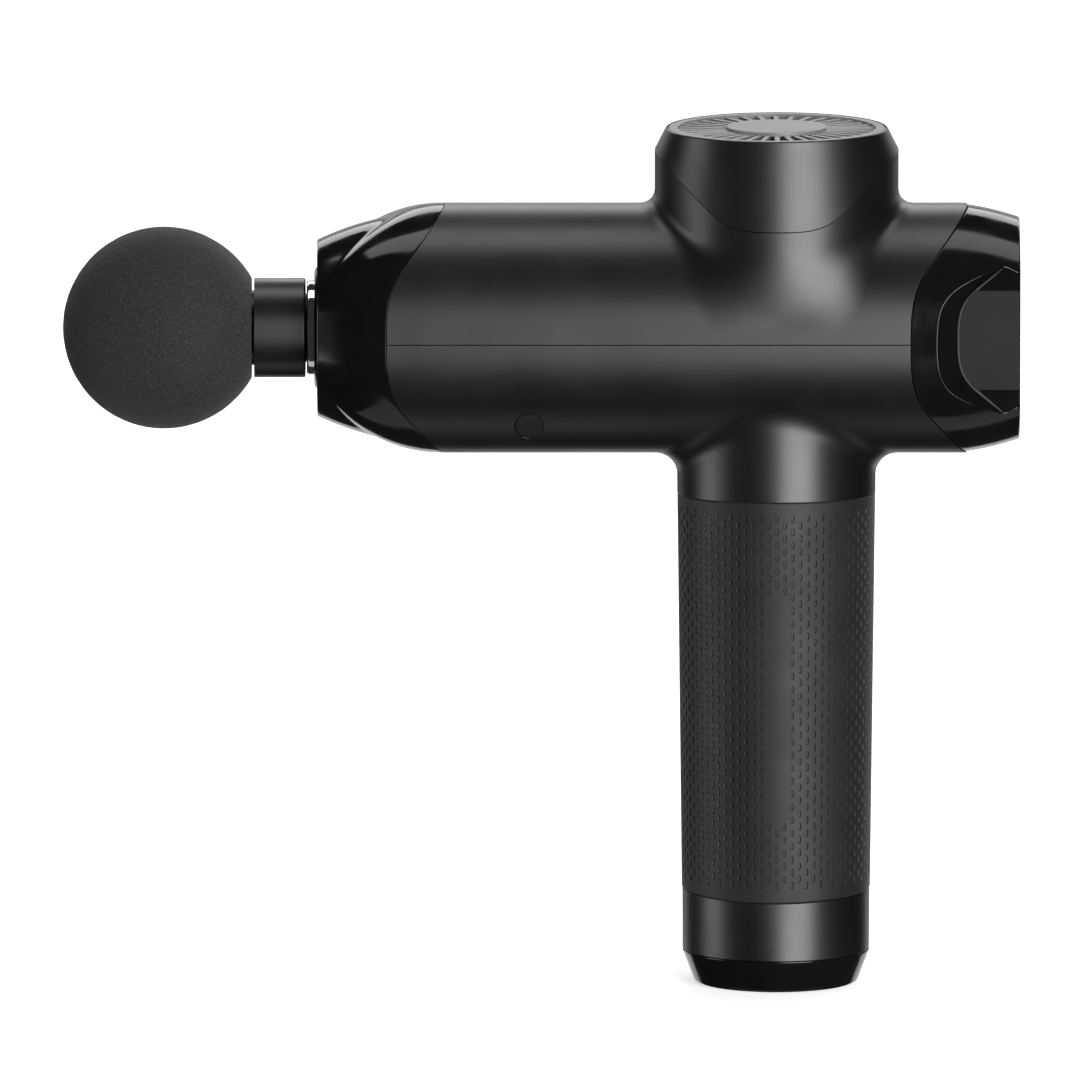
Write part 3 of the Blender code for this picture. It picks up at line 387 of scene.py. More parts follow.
def spun(name, profile, sides=128, along="X"):
    """Turn (radius, position) points about the barrel's axis (X) or the handle's axis (Z).

    A profile that starts on the axis also ends there, and any other one is closed on itself.
    """
    angles = np.arange(sides) * math.tau / sides
    points, rings = [], []
    for radius, place in profile:
        count = sides if radius > 1e-6 else 1
        rings.append(list(range(len(points), len(points) + count)))
        points += [(radius * math.cos(a), radius * math.sin(a), place) for a in angles[:count]]
    pairs = list(zip(rings, rings[1:]))
    if len(rings[0]) > 1:
        pairs.append((rings[-1], rings[0]))
    faces = []
    for low, high in pairs:
        for i in range(sides):
            j = (i + 1) % sides
            face = [low[i % len(low)], low[j % len(low)], high[j % len(high)], high[i % len(high)]]
            faces.append(list(dict.fromkeys(face)))
    points = np.array(points)
    if along == "X":
        points = np.stack([points[:, 2], points[:, 0], points[:, 1] + AXIS], 1)
    made = add_object(name, points, faces)
    face_outwards(made)
    return made


def turned_piece(name, sides, corners, slot, node, body="housing", along="X", cuts=()):
    """A turned piece with rounded corners, finished in one call."""
    made = spun(name, rounded(corners), sides, along)
    if cuts:
        carve(made, cuts)
    return crisp_piece(made, slot, node, body=body)


def swept_piece(name, sides, outline, slot, *nodes, along="X", angle=32.0):
    """A ring whose closed outline changes with the angle round an axis.

    The outline's points are (position, radius) along the barrel (X) and (radius, height) up the handle (Z).
    """
    points, faces = [], []
    for i in range(sides):
        turn = math.tau * i / sides
        across, up = math.cos(turn), math.sin(turn)
        column = outline(turn)
        count = len(column)
        if along == "X":
            points += [(x, r * across, AXIS + r * up) for x, r in column]
        else:
            points += [(r * across, r * up, z) for r, z in column]
        here, after = i * count, (i + 1) % sides * count
        for k in range(count):
            m = (k + 1) % count
            faces.append([here + k, after + k, after + m, here + m])
    return crisp_piece(add_object(name, points, faces), slot, *nodes, angle=angle, weld=0.004)


def drill(radius, centre, direction=(0, 0, 1), length=30.0, sides=48):
    """A cylinder to cut with."""
    bm = bmesh.new()
    bmesh.ops.create_cone(
        bm, cap_ends=True, segments=sides, radius1=radius * MM, radius2=radius * MM, depth=length * MM
    )
    turn = Vector((0, 0, 1)).rotation_difference(Vector(direction)).to_matrix().to_4x4()
    turn.translation = Vector(centre) * MM
    bm.transform(turn)
    mesh = bpy.data.meshes.new("drill")
    bm.to_mesh(mesh)
    bm.free()
    return new_object("drill", mesh)


# ---- blended housing skin

NET_STEP = 1.2


def smooth_step(value, low, high):
    t = np.clip((value - low) / (high - low), 0, 1)
    return t * t * (3 - 2 * t)


def rolled_union(d1, d2, cosine, radius):
    """Union of two solids from their distances, with a ball of the radius rolled along the crease."""
    a = radius - d1
    b = radius - d2
    rest = np.maximum(1 - cosine * cosine, 1e-6)
    first = (a - b * cosine) / rest
    second = (b - a * cosine) / rest
    ball = radius - np.sqrt(np.maximum(a * a + b * b - 2 * a * b * cosine, 0) / rest)
    return np.where((first > 0) & (second > 0), ball, np.minimum(d1, d2))


def housing_field(p):
    """Distance to the housings' outer form: barrel, dome and neck with soft fillets between them."""
    x, y, z = p[:, 0], p[:, 1], p[:, 2] - AXIS
    across = np.maximum(np.hypot(y, z), 1e-6)
    round_post = np.maximum(np.hypot(x, y), 1e-6)
    up = smooth_step(z, -4, 4)
    post = NECK + (DOME - NECK) * up
    cosine = y * y / (across * round_post)
    fillet = 5.5 - 1.8 * up
    widening = 13.0 + 43.0 * up  # what the fillet gains towards the gun's sides
    return rolled_union(across - BARREL, round_post - post, cosine, fillet + widening * cosine**4)


def slope_of(field, p, step=0.01):
    """The field's gradient at each point."""
    out = np.empty_like(p)
    for axis in range(3):
        shift = np.zeros(3)
        shift[axis] = step
        out[:, axis] = (field(p + shift) - field(p - shift)) / (2 * step)
    return out


def onto(field, p, rounds=3):
    """Move points onto the field's zero surface."""
    for _ in range(rounds):
        slope = slope_of(field, p)
        p = p - slope * (field(p) / np.maximum((slope * slope).sum(1), 1e-9))[:, None]
    return p


def net(field, low, high, step):
    """Even quads over a field's zero surface, found cell by cell and then settled onto it."""
    counts = [int((b - a) / step) + 2 for a, b in zip(low, high)]
    lines = [a + step * np.arange(n) for a, n in zip(low, counts)]
    grid = np.stack(np.meshgrid(*lines, indexing="ij"), -1)
    inside = field(grid.reshape(-1, 3)).reshape(counts) < 0
    total = np.zeros([n - 1 for n in counts], int)
    for i, j, k in np.ndindex(2, 2, 2):
        total += inside[i : counts[0] - 1 + i, j : counts[1] - 1 + j, k : counts[2] - 1 + k]
    crossed = (total > 0) & (total < 8)
    index = np.full(crossed.shape, -1)
    index[crossed] = np.arange(crossed.sum())
    points = np.array(low) + step * (np.argwhere(crossed) + 0.5)
    quads = []
    for axis in range(3):
        change = np.diff(inside.astype(int), axis=axis)
        u, v = (axis + 1) % 3, (axis + 2) % 3
        found = np.argwhere(change != 0)
        sign = change[tuple(found.T)]
        ok = (found[:, u] > 0) & (found[:, v] > 0)
        ok &= (found[:, u] < counts[u] - 1) & (found[:, v] < counts[v] - 1)
        found, sign = found[ok], sign[ok]
        corners = []
        for back in ((1, 1), (0, 1), (0, 0), (1, 0)):
            cell = found.copy()
            cell[:, (u, v)] -= back
            corners.append(index[tuple(cell.T)])
        quad = np.stack(corners, 1)
        quad[sign > 0] = quad[sign > 0][:, ::-1]
        quads.append(quad)
    quads = np.concatenate(quads)
    return relaxed(field, points, quads), quads


def relaxed(field, points, quads, rounds=4):
    """Even out a net by averaging neighbours, settling it onto the surface each time."""
    ends = np.concatenate([quads[:, [i, (i + 1) % 4]] for i in range(4)])
    ends = np.concatenate([ends, ends[:, ::-1]])
    share = np.bincount(ends[:, 0], minlength=len(points)).astype(float)
    points = onto(field, points, 4)
    for _ in range(rounds):
        mean = np.zeros_like(points)
        for axis in range(3):
            mean[:, axis] = np.bincount(ends[:, 0], points[ends[:, 1], axis], len(points))
        points = onto(field, 0.4 * points + 0.6 * mean / np.maximum(share, 1)[:, None], 2)
    return points


def skin_from(points, faces):
    """A bmesh in millimetres."""
    bm = bmesh.new()
    verts = [bm.verts.new(p) for p in points]
    for face in faces:
        bm.faces.new([verts[i] for i in face])
    return bm


def points_of(bm):
    return np.array([v.co for v in bm.verts], float).reshape(-1, 3)


def trim(bm, keep):
    """Cut a skin along the zero line of a function and drop what lies where it is negative."""
    bm.verts.index_update()
    values = keep(points_of(bm))
    cut = []
    for edge in list(bm.edges):
        first, second = edge.verts
        a, b = values[first.index], values[second.index]
        if (a >= 0) != (b >= 0):
            cut.append((edge, first, a, b))
    start = np.array([first.co for _, first, _, _ in cut])
    end = np.array([edge.other_vert(first).co for edge, first, _, _ in cut])
    a, b = np.array([row[2:] for row in cut]).T
    share = a / (a - b)
    low, high = np.zeros(len(cut)), np.ones(len(cut))
    for _ in range(12):
        same = (keep(start + (end - start) * share[:, None]) >= 0) == (a >= 0)
        low = np.where(same, share, low)
        high = np.where(same, high, share)
        share = (low + high) / 2
    kept = {v for v in bm.verts if values[v.index] >= 0}
    made = [
        bmesh.utils.edge_split(edge, first, min(max(t, 0.001), 0.999))[1]
        for (edge, first, _, _), t in zip(cut, share)
    ]
    bmesh.ops.connect_verts(bm, verts=made)
    kept.update(made)
    gone = [face for face in bm.faces if any(v not in kept for v in face.verts)]
    bmesh.ops.delete(bm, geom=gone, context="FACES")
    loose = [v for v in bm.verts if not v.link_faces]
    bmesh.ops.delete(bm, geom=loose, context="VERTS")


def shell(name, bm, field, wall=WALL, lip=LIP, steps=3):
    """A closed shell from an open skin: rounded lips at its edges, side walls and an inner surface."""
    bm.verts.index_update()
    points = onto(field, points_of(bm), 2)
    normal = slope_of(field, points)
    normal /= np.linalg.norm(normal, axis=1)[:, None]
    faces = [[v.index for v in face.verts] for face in bm.faces]
    edges = [edge for edge in bm.edges if edge.is_boundary]
    rim = [(loop.vert.index, loop.link_loop_next.vert.index) for edge in edges for loop in edge.link_loops]
    bm.free()
    away = np.zeros_like(points)
    for a, b in rim:
        side = np.cross(points[b] - points[a], normal[a] + normal[b])
        side /= max(np.linalg.norm(side), 1e-9)
        away[a] += side
        away[b] += side
    away /= np.maximum(np.linalg.norm(away, axis=1), 1e-9)[:, None]
    edge = sorted({a for pair in rim for a in pair})
    place = {v: i for i, v in enumerate(edge)}
    count = len(points)
    rings, ring_normals = [edge], [normal[edge]]
    all_points = [points]
    for k in range(1, steps + 1):
        turn = math.pi / 2 * k / steps
        out, back = math.sin(turn) * away[edge], math.cos(turn) * normal[edge]
        all_points.append(points[edge] + lip * (out - (1 - math.cos(turn)) * normal[edge]))
        rings.append(list(range(count, count + len(edge))))
        ring_normals.append(back + out)
        count += len(edge)
    inner = points - wall * normal
    inner[edge] += lip * away[edge]
    all_points.append(inner)
    rings.append([count + v for v in edge])
    ring_normals.append(away[edge])
    out_faces = list(faces)
    corner_normals = [normal[i] for face in faces for i in face]
    for k in range(steps + 1):
        for a, b in rim:
            corners = (k, place[b]), (k, place[a]), (k + 1, place[a]), (k + 1, place[b])
            out_faces.append([rings[row][i] for row, i in corners])
            corner_normals += [ring_normals[row][i] for row, i in corners]
    for face in faces:
        out_faces.append([count + i for i in reversed(face)])
        corner_normals += [-normal[i] for i in reversed(face)]
    made = add_object(name, np.concatenate(all_points), out_faces)
    made.data.normals_split_custom_set([tuple(n) for n in corner_normals])
    return made


def make_housings():
    """Both housings, trimmed from one skin along their seams."""
    low = (front_seam(AXIS) - 4, -BARREL - 3, GRIP_HIGH.z - 4)
    high = (rear_seam(AXIS + BARREL) + 4, BARREL + 3, CAP_TOP)
    points, faces = net(housing_field, low, high, NET_STEP)
    plug_x, _, plug_z = middle_of("screw_plug_left")
    hole = half_length("screw_plug_left") + 0.12 + LIP
    gap = SEAM_GAP / 2 + LIP
    middle_gap = gap - 0.02
    ends = [
        lambda p: p[:, 0] - front_seam(p[:, 2]) - gap,
        lambda p: rear_seam(p[:, 2]) - p[:, 0] - gap,
    ]
    bounds = {
        "upper": [
            lambda p: p[:, 2] - AXIS - middle_gap,
            *ends,
            lambda p: cap_seam(p[:, 0]) - p[:, 2] - gap,
        ],
        "lower": [
            lambda p: AXIS - p[:, 2] - middle_gap,
            *ends,
            lambda p: p[:, 2] - bowed(GRIP_HIGH.z, GRIP_SEAM_BOW, p[:, 0], p[:, 1]) - gap,
            lambda p: np.hypot(p[:, 0] - plug_x, p[:, 2] - plug_z) - hole,
        ],
    }
    for half, keeps in bounds.items():
        skin = skin_from(points, faces)
        for keep in keeps:
            trim(skin, keep)
        finish_piece(shell(f"{half}_shell", skin, housing_field), "satin_black", f"{half}_housing")


def make_tongues():
    """Bands that close the seams from inside, so that nothing shows through the gaps."""
    outer = BARREL - WALL - 0.1
    inner = outer - 0.5
    reach = 1.4

    def band(seam, turn):
        x = float(seam(AXIS + BARREL * math.sin(turn)))
        return [(x - reach, outer), (x + reach, outer), (x + reach, inner), (x - reach, inner)]

    for name, seam in (("front", front_seam), ("rear", rear_seam)):
        swept_piece(f"tongue_{name}", 128, lambda turn: band(seam, turn), "satin_black")
    start, end = float(front_seam(AXIS)) + 2.0, float(rear_seam(AXIS)) - 2.0
    section = ((outer, -reach), (outer, reach), (inner, reach), (inner, -reach))
    faces = [[0, 1, 2, 3], [7, 6, 5, 4]] + [[k, k + 4, (k + 1) % 4 + 4, (k + 1) % 4] for k in range(4)]
    for name, sign in (("left", -1), ("right", 1)):
        points = [(x, sign * y, AXIS + z) for x in (start, end) for y, z in section]
        crisp_piece(add_object(f"tongue_{name}", points, faces), "satin_black")


def make_screw_plugs():
    """Round matt plugs, flush with the barrel's side."""
    depth = 3.0
    for side, sign in (("left", -1), ("right", 1)):
        x, _, z = middle_of(f"screw_plug_{side}")
        radius = half_length(f"screw_plug_{side}")
        profile = [(0, 0), (radius * 0.5, 0), (radius - 0.3, 0), (radius - 0.1, -0.05), (radius, -0.22)]
        made = spun(f"plug_{side}", profile + [(radius, -depth), (0, -depth)], 64, "Z")
        for vert in made.data.vertices:
            local = vert.co / MM
            height = z - AXIS + local.y
            skin = math.sqrt(BARREL**2 - height**2) - 0.05
            vert.co = Vector((x + local.x, sign * (skin + local.z), z + local.y)) * MM
        crisp_piece(made, "matt_grey", f"screw_plug_{side}")


# ---- top cap and vent

SPOKES = 36
SPOKE_HALF = 0.62
SPOKE_DROP = 0.45  # how far the spokes lie below the rim


def make_top_cap():
    """The dome's cap: its sides run straight from a V seam up to the round rim, which holds the grille."""
    seat = box("vent_grille")[1].x + 0.15
    rim = seat + 0.45
    step = CAP_TOP - 2.2

    def outline(turn):
        low = float(cap_seam(math.cos(turn) * DOME)) + SEAM_GAP / 2
        skirt = [(DOME - WALL, low, 0), (DOME - LIP, low, 0), (DOME, low + 0.02, LIP)]
        top = [(rim, CAP_TOP - 0.2, 0.4), (seat, CAP_TOP, 0.2)]
        inside = [(seat, step, 0), (seat - 3.6, step, 0.2), (DOME - WALL - 3.0, CAP_TOP - 4.5, 0)]
        return rounded(skirt + top + inside)

    swept_piece("cap", 240, outline, "satin_black", "top_cap", along="Z", angle=28)


def make_vent():
    """A rim, straight spokes a little below it, and a raised round badge."""
    _, high = box("vent_grille")
    rim, top = high.x, high.z
    inner, bottom = rim - 2.3, top - 1.7
    corners = [(inner, bottom, 0), (inner, top, 0.25), (rim, top, 0.35), (rim, bottom, 0)]
    turned_piece("vent_rim", 192, corners, "vent_grey", "vent_grille", along="Z")
    _, badge = box("vent_badge")
    count = 2 * SPOKES
    hub, reach, foot = (range(k * count, (k + 1) * count) for k in range(3))
    points, faces = [], []
    for radius in (badge.x - 1.2, inner + 0.1, inner + 0.6):
        bend = math.asin(SPOKE_HALF / radius)
        angles = [math.tau * spoke / SPOKES + edge for spoke in range(SPOKES) for edge in (-bend, bend)]
        points += [(radius * math.cos(a), radius * math.sin(a), top - SPOKE_DROP) for a in angles]
    for i in range(count):
        after = (i + 1) % count
        faces.append((len(points), hub[i], hub[after]))
        if i % 2 == 0:
            faces.append((hub[i], reach[i], reach[after], hub[after]))
        faces.append((reach[i], foot[i], foot[after], reach[after]))
    made = add_object("vent_spokes", [*points, (0, 0, top - SPOKE_DROP)], faces)
    configure(made.modifiers.new("thickness", "SOLIDIFY"), thickness=1.2 * MM, offset=-1)
    edge = made.modifiers.new("edge", "BEVEL")
    configure(edge, width=0.13 * MM, segments=2, limit_method="ANGLE", angle_limit=math.radians(50))
    settle(made)
    crisp_piece(made, "vent_grey", "vent_grille")
    corners = [(0, badge.z - 1.0, 0), (badge.x, badge.z - 1.0, 0), (badge.x, badge.z, 0.28)]
    corners += [(badge.x * 0.6, badge.z - 0.02, 0), (0, badge.z - 0.03, 0)]
    turned_piece("badge", 144, corners, "vent_grey", "vent_badge", along="Z")


# ---- nose

NOSE_FRONT = box("front_cover")[0].x
NOSE_INNER = NOSE_FRONT + 3.0  # front end of the cover's inner surface
NOSE_RIM = 21.15
CREASE_SOFTNESS = 0.42


def nose_lobe(x):
    """Radius of the front lobe, which the plunger comes out of."""
    t = x - NOSE_FRONT
    return NOSE_RIM + 0.472 * t - 0.0086 * t * t


def shoulder_lobe(x, seam, lift):
    """Radius of the lobe that comes forward from the seam; lift is 0 at mid-height and 1 on top."""
    length = 17.5 + 7.0 * lift**2 - 10.0 * lift**10
    drop = 12.0 - 6.0 * lift**8
    reach = np.clip((seam - x) / length, 0, 1)
    beyond = np.maximum(seam - x - length, 0)
    return BARREL - drop * (1 - np.sqrt(1 - reach * reach)) - 3.0 * beyond


def nose_radius(x, angle, seam):
    """The two lobes meet in a crease on top and below, which fades into one smooth side."""
    lift = abs(math.sin(angle))
    lobe = nose_lobe(x)
    shoulder = shoulder_lobe(x, seam, lift)
    gap = lobe - shoulder
    creased = (lobe + shoulder + np.sqrt(gap * gap + CREASE_SOFTNESS**2)) / 2
    t = np.clip((x - NOSE_FRONT) / (seam - NOSE_FRONT), 0, 1)
    plain = NOSE_RIM + (BARREL - NOSE_RIM) * (1 - (1 - t) ** 1.22)
    share = smooth_step(lift, 0.45, 0.84)
    return np.minimum(plain + (creased - plain) * share, BARREL)


def make_front_cover():
    """A gloss nose: two lobes with a crease between them, flush with the barrel at its slanting seam."""
    steps = 96
    hole = turned_radius("front_bezel") + 0.2
    start = NOSE_FRONT + 0.35

    def outline(turn):
        end = float(front_seam(AXIS + BARREL * math.sin(turn))) - SEAM_GAP / 2
        seam = end - LIP
        x = start + (seam - start) * np.arange(steps + 1) / steps
        skin = list(zip(x, nose_radius(x, turn, seam)))
        rim = skin[0][1]
        lead = [(NOSE_INNER, hole), (NOSE_FRONT + 0.25, hole), (NOSE_FRONT, hole + 0.25)]
        lead += [(NOSE_FRONT, rim - 0.45), (NOSE_FRONT + 0.03, rim - 0.27), (NOSE_FRONT + 0.14, rim - 0.11)]
        lip = [
            (seam + LIP * math.sin(a), BARREL - LIP * (1 - math.cos(a)))
            for a in (math.pi / 6, math.pi / 3, math.pi / 2)
        ]
        x = end + (NOSE_INNER - end) * np.arange(1, 13) / 12
        inside = list(zip(x, nose_radius(x, turn, seam) - WALL))
        return lead + skin + lip + [(end, BARREL - WALL)] + inside

    swept_piece("nose_cover", 256, outline, "gloss_black", "front_cover", angle=50)


def make_bezel():
    low, high = box("front_bezel")
    inner = box("plunger_sleeve")[1].y + 0.5
    outer = turned_radius("front_bezel")
    front, back = low.x, high.x
    corners = [(inner, back, 0), (inner, front + 0.5, 0.3), (inner + 0.5, front, 0.2)]
    corners += [(outer - 1.1, front, 0.5), (outer, front + 0.7, 0.5), (outer, back, 0)]
    turned_piece("bezel", 144, corners, "gloss_black", "front_bezel")


# ---- head and plunger


def make_ball():
    """A foam ball with a slightly uneven, porous surface."""
    low, high = box("head_ball")
    radius = (high.y - low.y) / 2
    middle = low.x + radius
    start = math.asin((turned_radius("head_shank") + 0.06) / radius)
    core = 9.3
    core_front = box("head_shank")[0].x - 0.3
    back = middle + radius * math.cos(start)
    steps = 120
    profile = [(0, core_front), (core, core_front), (core, back - 0.4), (core + 0.4, back - 0.05)]
    profile += [(radius * math.sin(start) - 0.5, back - 0.03), (radius * math.sin(start) - 0.12, back - 0.01)]
    arc = [start + 0.012 + (math.pi - start - 0.012) * k / steps for k in range(steps)]
    profile += [(radius * math.sin(a), middle + radius * math.cos(a)) for a in arc]
    made = spun("foam_ball", profile + [(0, middle - radius)], 240)
    shifts = np.random.default_rng(7).normal(0.0, 1.0, (60, 4))
    co = values_of(made.data.vertices, "co", 3) / MM
    away = co - np.array((middle, 0.0, AXIS))
    distance = np.linalg.norm(away, axis=1)
    lumps = np.zeros(len(co))
    for a, b, c, phase in shifts:
        lumps += np.sin((away @ np.array((a, b, c))) * 1.1 + phase * 3.0)
    lumps = lumps / math.sqrt(len(shifts))
    on_skin = np.clip((distance - radius + 0.4) / 0.3, 0, 1) * np.clip((back - co[:, 0]) / 3, 0, 1)
    co -= away / distance[:, None] * (on_skin * (0.03 + 0.02 * lumps))[:, None]
    made.data.vertices.foreach_set("co", (co * MM).ravel())
    crisp_piece(made, "foam_black", "head_ball", body="head", angle=60)


def make_shank():
    """The head's shank, its core in the ball and its hollow stem with two O-rings."""
    low, high = box("head_shank")
    radius = turned_radius("head_shank")
    front = box("front_bezel")[0].x - 14.5
    back = box("plunger_sleeve")[0].x - 0.3
    core, stem, hollow = 9.0, 8.2, 5.2
    groove, half = 6.9, 0.95
    rings = ("head_o_ring_front", "head_o_ring_rear")
    corners = [(0, low.x, 0), (core, low.x, 0.8), (core, front + 0.1, 0), (radius, front + 0.1, 0.08)]
    corners += [(radius, back, 0.55), (stem, back, 0.1)]
    for x in (middle_of(ring)[0] for ring in rings):
        corners += [(stem, x - half, 0.12), (groove, x - half, 0.1)]
        corners += [(groove, x + half, 0.1), (stem, x + half, 0.12)]
    corners += [(stem, high.x - 1, 0.3), (stem - 1, high.x, 0.3), (hollow, high.x, 0.2)]
    corners += [(hollow, front + 5, 0.5), (0, front + 5, 0)]
    turned_piece("shank", 144, corners, "satin_black", "head_shank", body="head")
    for name in rings:
        thick, place = half_length(name), middle_of(name)[0]
        middle = box(name)[1].y - thick
        turns = np.arange(16) * math.tau / 16
        section = [(middle + thick * math.cos(t), place + thick * math.sin(t)) for t in turns]
        finish_piece(spun(name + "_fine", section, 96), "rubber_black", name, body="head")


def make_plunger():
    """A chrome sleeve with a rolled lip round the head's socket."""
    low, high = box("plunger_sleeve")
    radius, socket, bore = 11.0, 8.5, 9.3
    socket_end, bore_end = -89.3, -85.3
    front, back = low.x, high.x
    corners = [(0, socket_end, 0), (socket, socket_end, 0.3), (socket, front + 0.5, 0.2)]
    corners += [(socket + 0.4, front, 0.25), (radius + 0.1, front, 0.35), (radius + 0.4, front + 0.45, 0.3)]
    corners += [(radius + 0.4, front + 2.2, 0.25), (radius, front + 2.5, 0.2), (radius, back, 0.3)]
    corners += [(bore, back, 0.2), (bore, bore_end, 0.3), (0, bore_end, 0)]
    pin = (middle_of("plunger_pin")[0], 0, AXIS)
    hole = drill(half_length("plunger_pin") + 0.2, pin, (0, 1, 0), 40, 32)
    turned_piece("plunger_tube", 160, corners, "chrome", "plunger_sleeve", body="plunger", cuts=[hole])


# ---- rear cover

REAR_FACE = box("rear_cover")[1].x
REAR_BEND = 40.5
REAR_DRAW = 3.4  # how much narrower the cover is at the rear face
REAR_EDGE = 0.35
RECESS_FLOOR = 21.5
RECESS_TIP = 17.4
RECESS_FOOT = 43.1  # front end of the floor, at mid-height
RECESS_BROW = 38.7  # front end of the sloping wall's outer edge
RECESS_BROW_DEPTH = 29.5
RECESS_BLEND = 0.3  # how far the floor's rounded front edge reaches
PANEL_HALF = 12.0
PANEL_RISE = 0.2
PANEL_EDGE = 0.12


def rear_radius(x):
    """The rear cover's radius: the barrel's, then drawn in towards the rear face."""
    t = np.clip((x - REAR_BEND) / (REAR_FACE - REAR_BEND), 0, 1)
    return BARREL - REAR_DRAW * t**1.75


def rear_field(p):
    return np.hypot(p[:, 1], p[:, 2] - AXIS) - rear_radius(p[:, 0])


def recess_foot(z):
    """Where the recess's front wall meets its flat floor, at a height above the barrel's axis."""
    return RECESS_FOOT + seam_offset(z, blend=13.0, slope=1.25, power=3.2)


def recess_wall(z, y):
    """Where the sloping front wall is, at a height and at a depth from the gun's middle plane."""
    outer = RECESS_BROW + seam_offset(z, blend=16.0, slope=1.35, power=4.4)
    share = np.clip((y - RECESS_FLOOR) / (RECESS_BROW_DEPTH - RECESS_FLOOR), 0, 1.1)
    return recess_foot(z) + (outer - recess_foot(z)) * share


def beside_recess(p):
    """Above zero where the rear cover's outer skin isn't cut away by a recess."""
    y, z = np.abs(p[:, 1]), p[:, 2] - AXIS
    return np.maximum(RECESS_FLOOR - y, recess_wall(z, y) - p[:, 0])


def make_rear_cover():
    """Gloss rear end: slanting seam in front, flat face behind and a recess on each side."""
    sides, steps = 224, 26
    points, faces = [], []
    for i in range(sides):
        angle = math.tau * i / sides
        start = float(rear_seam(AXIS + BARREL * math.sin(angle))) + SEAM_GAP / 2 + REAR_EDGE
        for k in range(steps + 1):
            x = start + (REAR_FACE - REAR_EDGE - start) * k / steps
            r = float(rear_radius(x))
            points.append((x, r * math.cos(angle), AXIS + r * math.sin(angle)))
            if k:
                a, b = i * (steps + 1) + k, (i + 1) % sides * (steps + 1) + k
                faces.append([a - 1, b - 1, b, a])
    skin = skin_from(points, faces)
    bmesh.ops.recalc_face_normals(skin, faces=skin.faces)
    trim(skin, lambda p: beside_recess(p) - REAR_EDGE)
    finish_piece(shell("tail_cover", skin, rear_field, 1.6, REAR_EDGE, 4), "gloss_black", "rear_cover")
    make_rear_rim()
    for side, sign in (("left", -1), ("right", 1)):
        make_recess(side, sign)
        make_panel(side, sign)


def make_rear_rim():
    """The flat ring round the rear lens, cut off straight along the recesses."""
    back = REAR_FACE
    inner = turned_radius("rear_lens") + 0.15
    outer = float(rear_radius(back)) - REAR_EDGE
    flat = RECESS_FLOOR - 0.5

    def outline(turn):
        reach = min(outer, flat / max(abs(math.cos(turn)), 1e-6)) + 0.05
        seat = [(back - 4.0, inner - 1.3, 0), (back - 2.6, inner - 1.3, 0), (back - 2.6, inner, 0)]
        face = [(back, inner, 0.25), (back, reach, 0), (back - 1.2, reach, 0)]
        return rounded(seat + face + [(back - 1.2, inner + 0.9, 0), (back - 4.0, inner + 0.9, 0)], 3)

    swept_piece("tail_rim", 240, outline, "gloss_black", "rear_cover", angle=35)


def recess_row(z, wall_steps=8, floor_steps=12):
    """Points of the recess at one height: down its sloping wall, round into the floor and to the rear."""
    x = 40.0
    for _ in range(30):
        depth = math.sqrt(max(float(rear_radius(x)) ** 2 - z * z, RECESS_FLOOR**2))
        x = 0.5 * x + 0.5 * float(recess_wall(z, depth))
    foot = float(recess_foot(z))
    limit = math.hypot(RECESS_FLOOR, z)
    ends = [e for e in np.linspace(foot, REAR_FACE - 0.15, 60) if rear_radius(e) >= limit - 0.05]
    start = foot + RECESS_BLEND
    end = max(ends[-1] if ends else foot, start + 0.02)
    run, drop = foot - RECESS_BLEND - x, RECESS_FLOOR + RECESS_BLEND - depth
    row = [(x + run * k / wall_steps, depth + drop * k / wall_steps) for k in range(wall_steps + 1)]
    row += [(foot + 0.1 * RECESS_BLEND, RECESS_FLOOR + 0.25 * RECESS_BLEND), (start, RECESS_FLOOR)]
    return row + [(start + (end - start) * k / floor_steps, RECESS_FLOOR) for k in range(1, floor_steps + 1)]


def make_recess(side, sign):
    """The recess's sloping front wall and flat floor, as one thin moulding behind the cover's skin."""
    rows = 90
    front = []
    for j in range(rows + 1):
        z = RECESS_TIP * (2 * j / rows - 1)
        row = recess_row(z)
        front += [(x, sign * (y - 0.06), AXIS + z) for x, y in row]
    width, count = len(row), len(front)
    points = front + [(x, y - sign * 1.2, z) for x, y, z in front]
    faces = []
    for j in range(rows):
        for k in range(width - 1):
            a = j * width + k
            quad = [a, a + 1, a + width + 1, a + width]
            faces += [quad, [count + v for v in reversed(quad)]]
    rim = list(range(width)) + [j * width + width - 1 for j in range(1, rows + 1)]
    rim += [rows * width + k for k in range(width - 2, -1, -1)] + [j * width for j in range(rows - 1, 0, -1)]
    for a, b in zip(rim, rim[1:] + rim[:1]):
        faces.append([b, a, count + a, count + b])
    made = crisp_piece(add_object(f"recess_{side}", points, faces), "gloss_black", "rear_cover", angle=40)
    # The recess takes a copy of the gloss plastic with weaker reflections: painted shade in the recess.
    made.data.materials[0] = recess_shaded_plastic


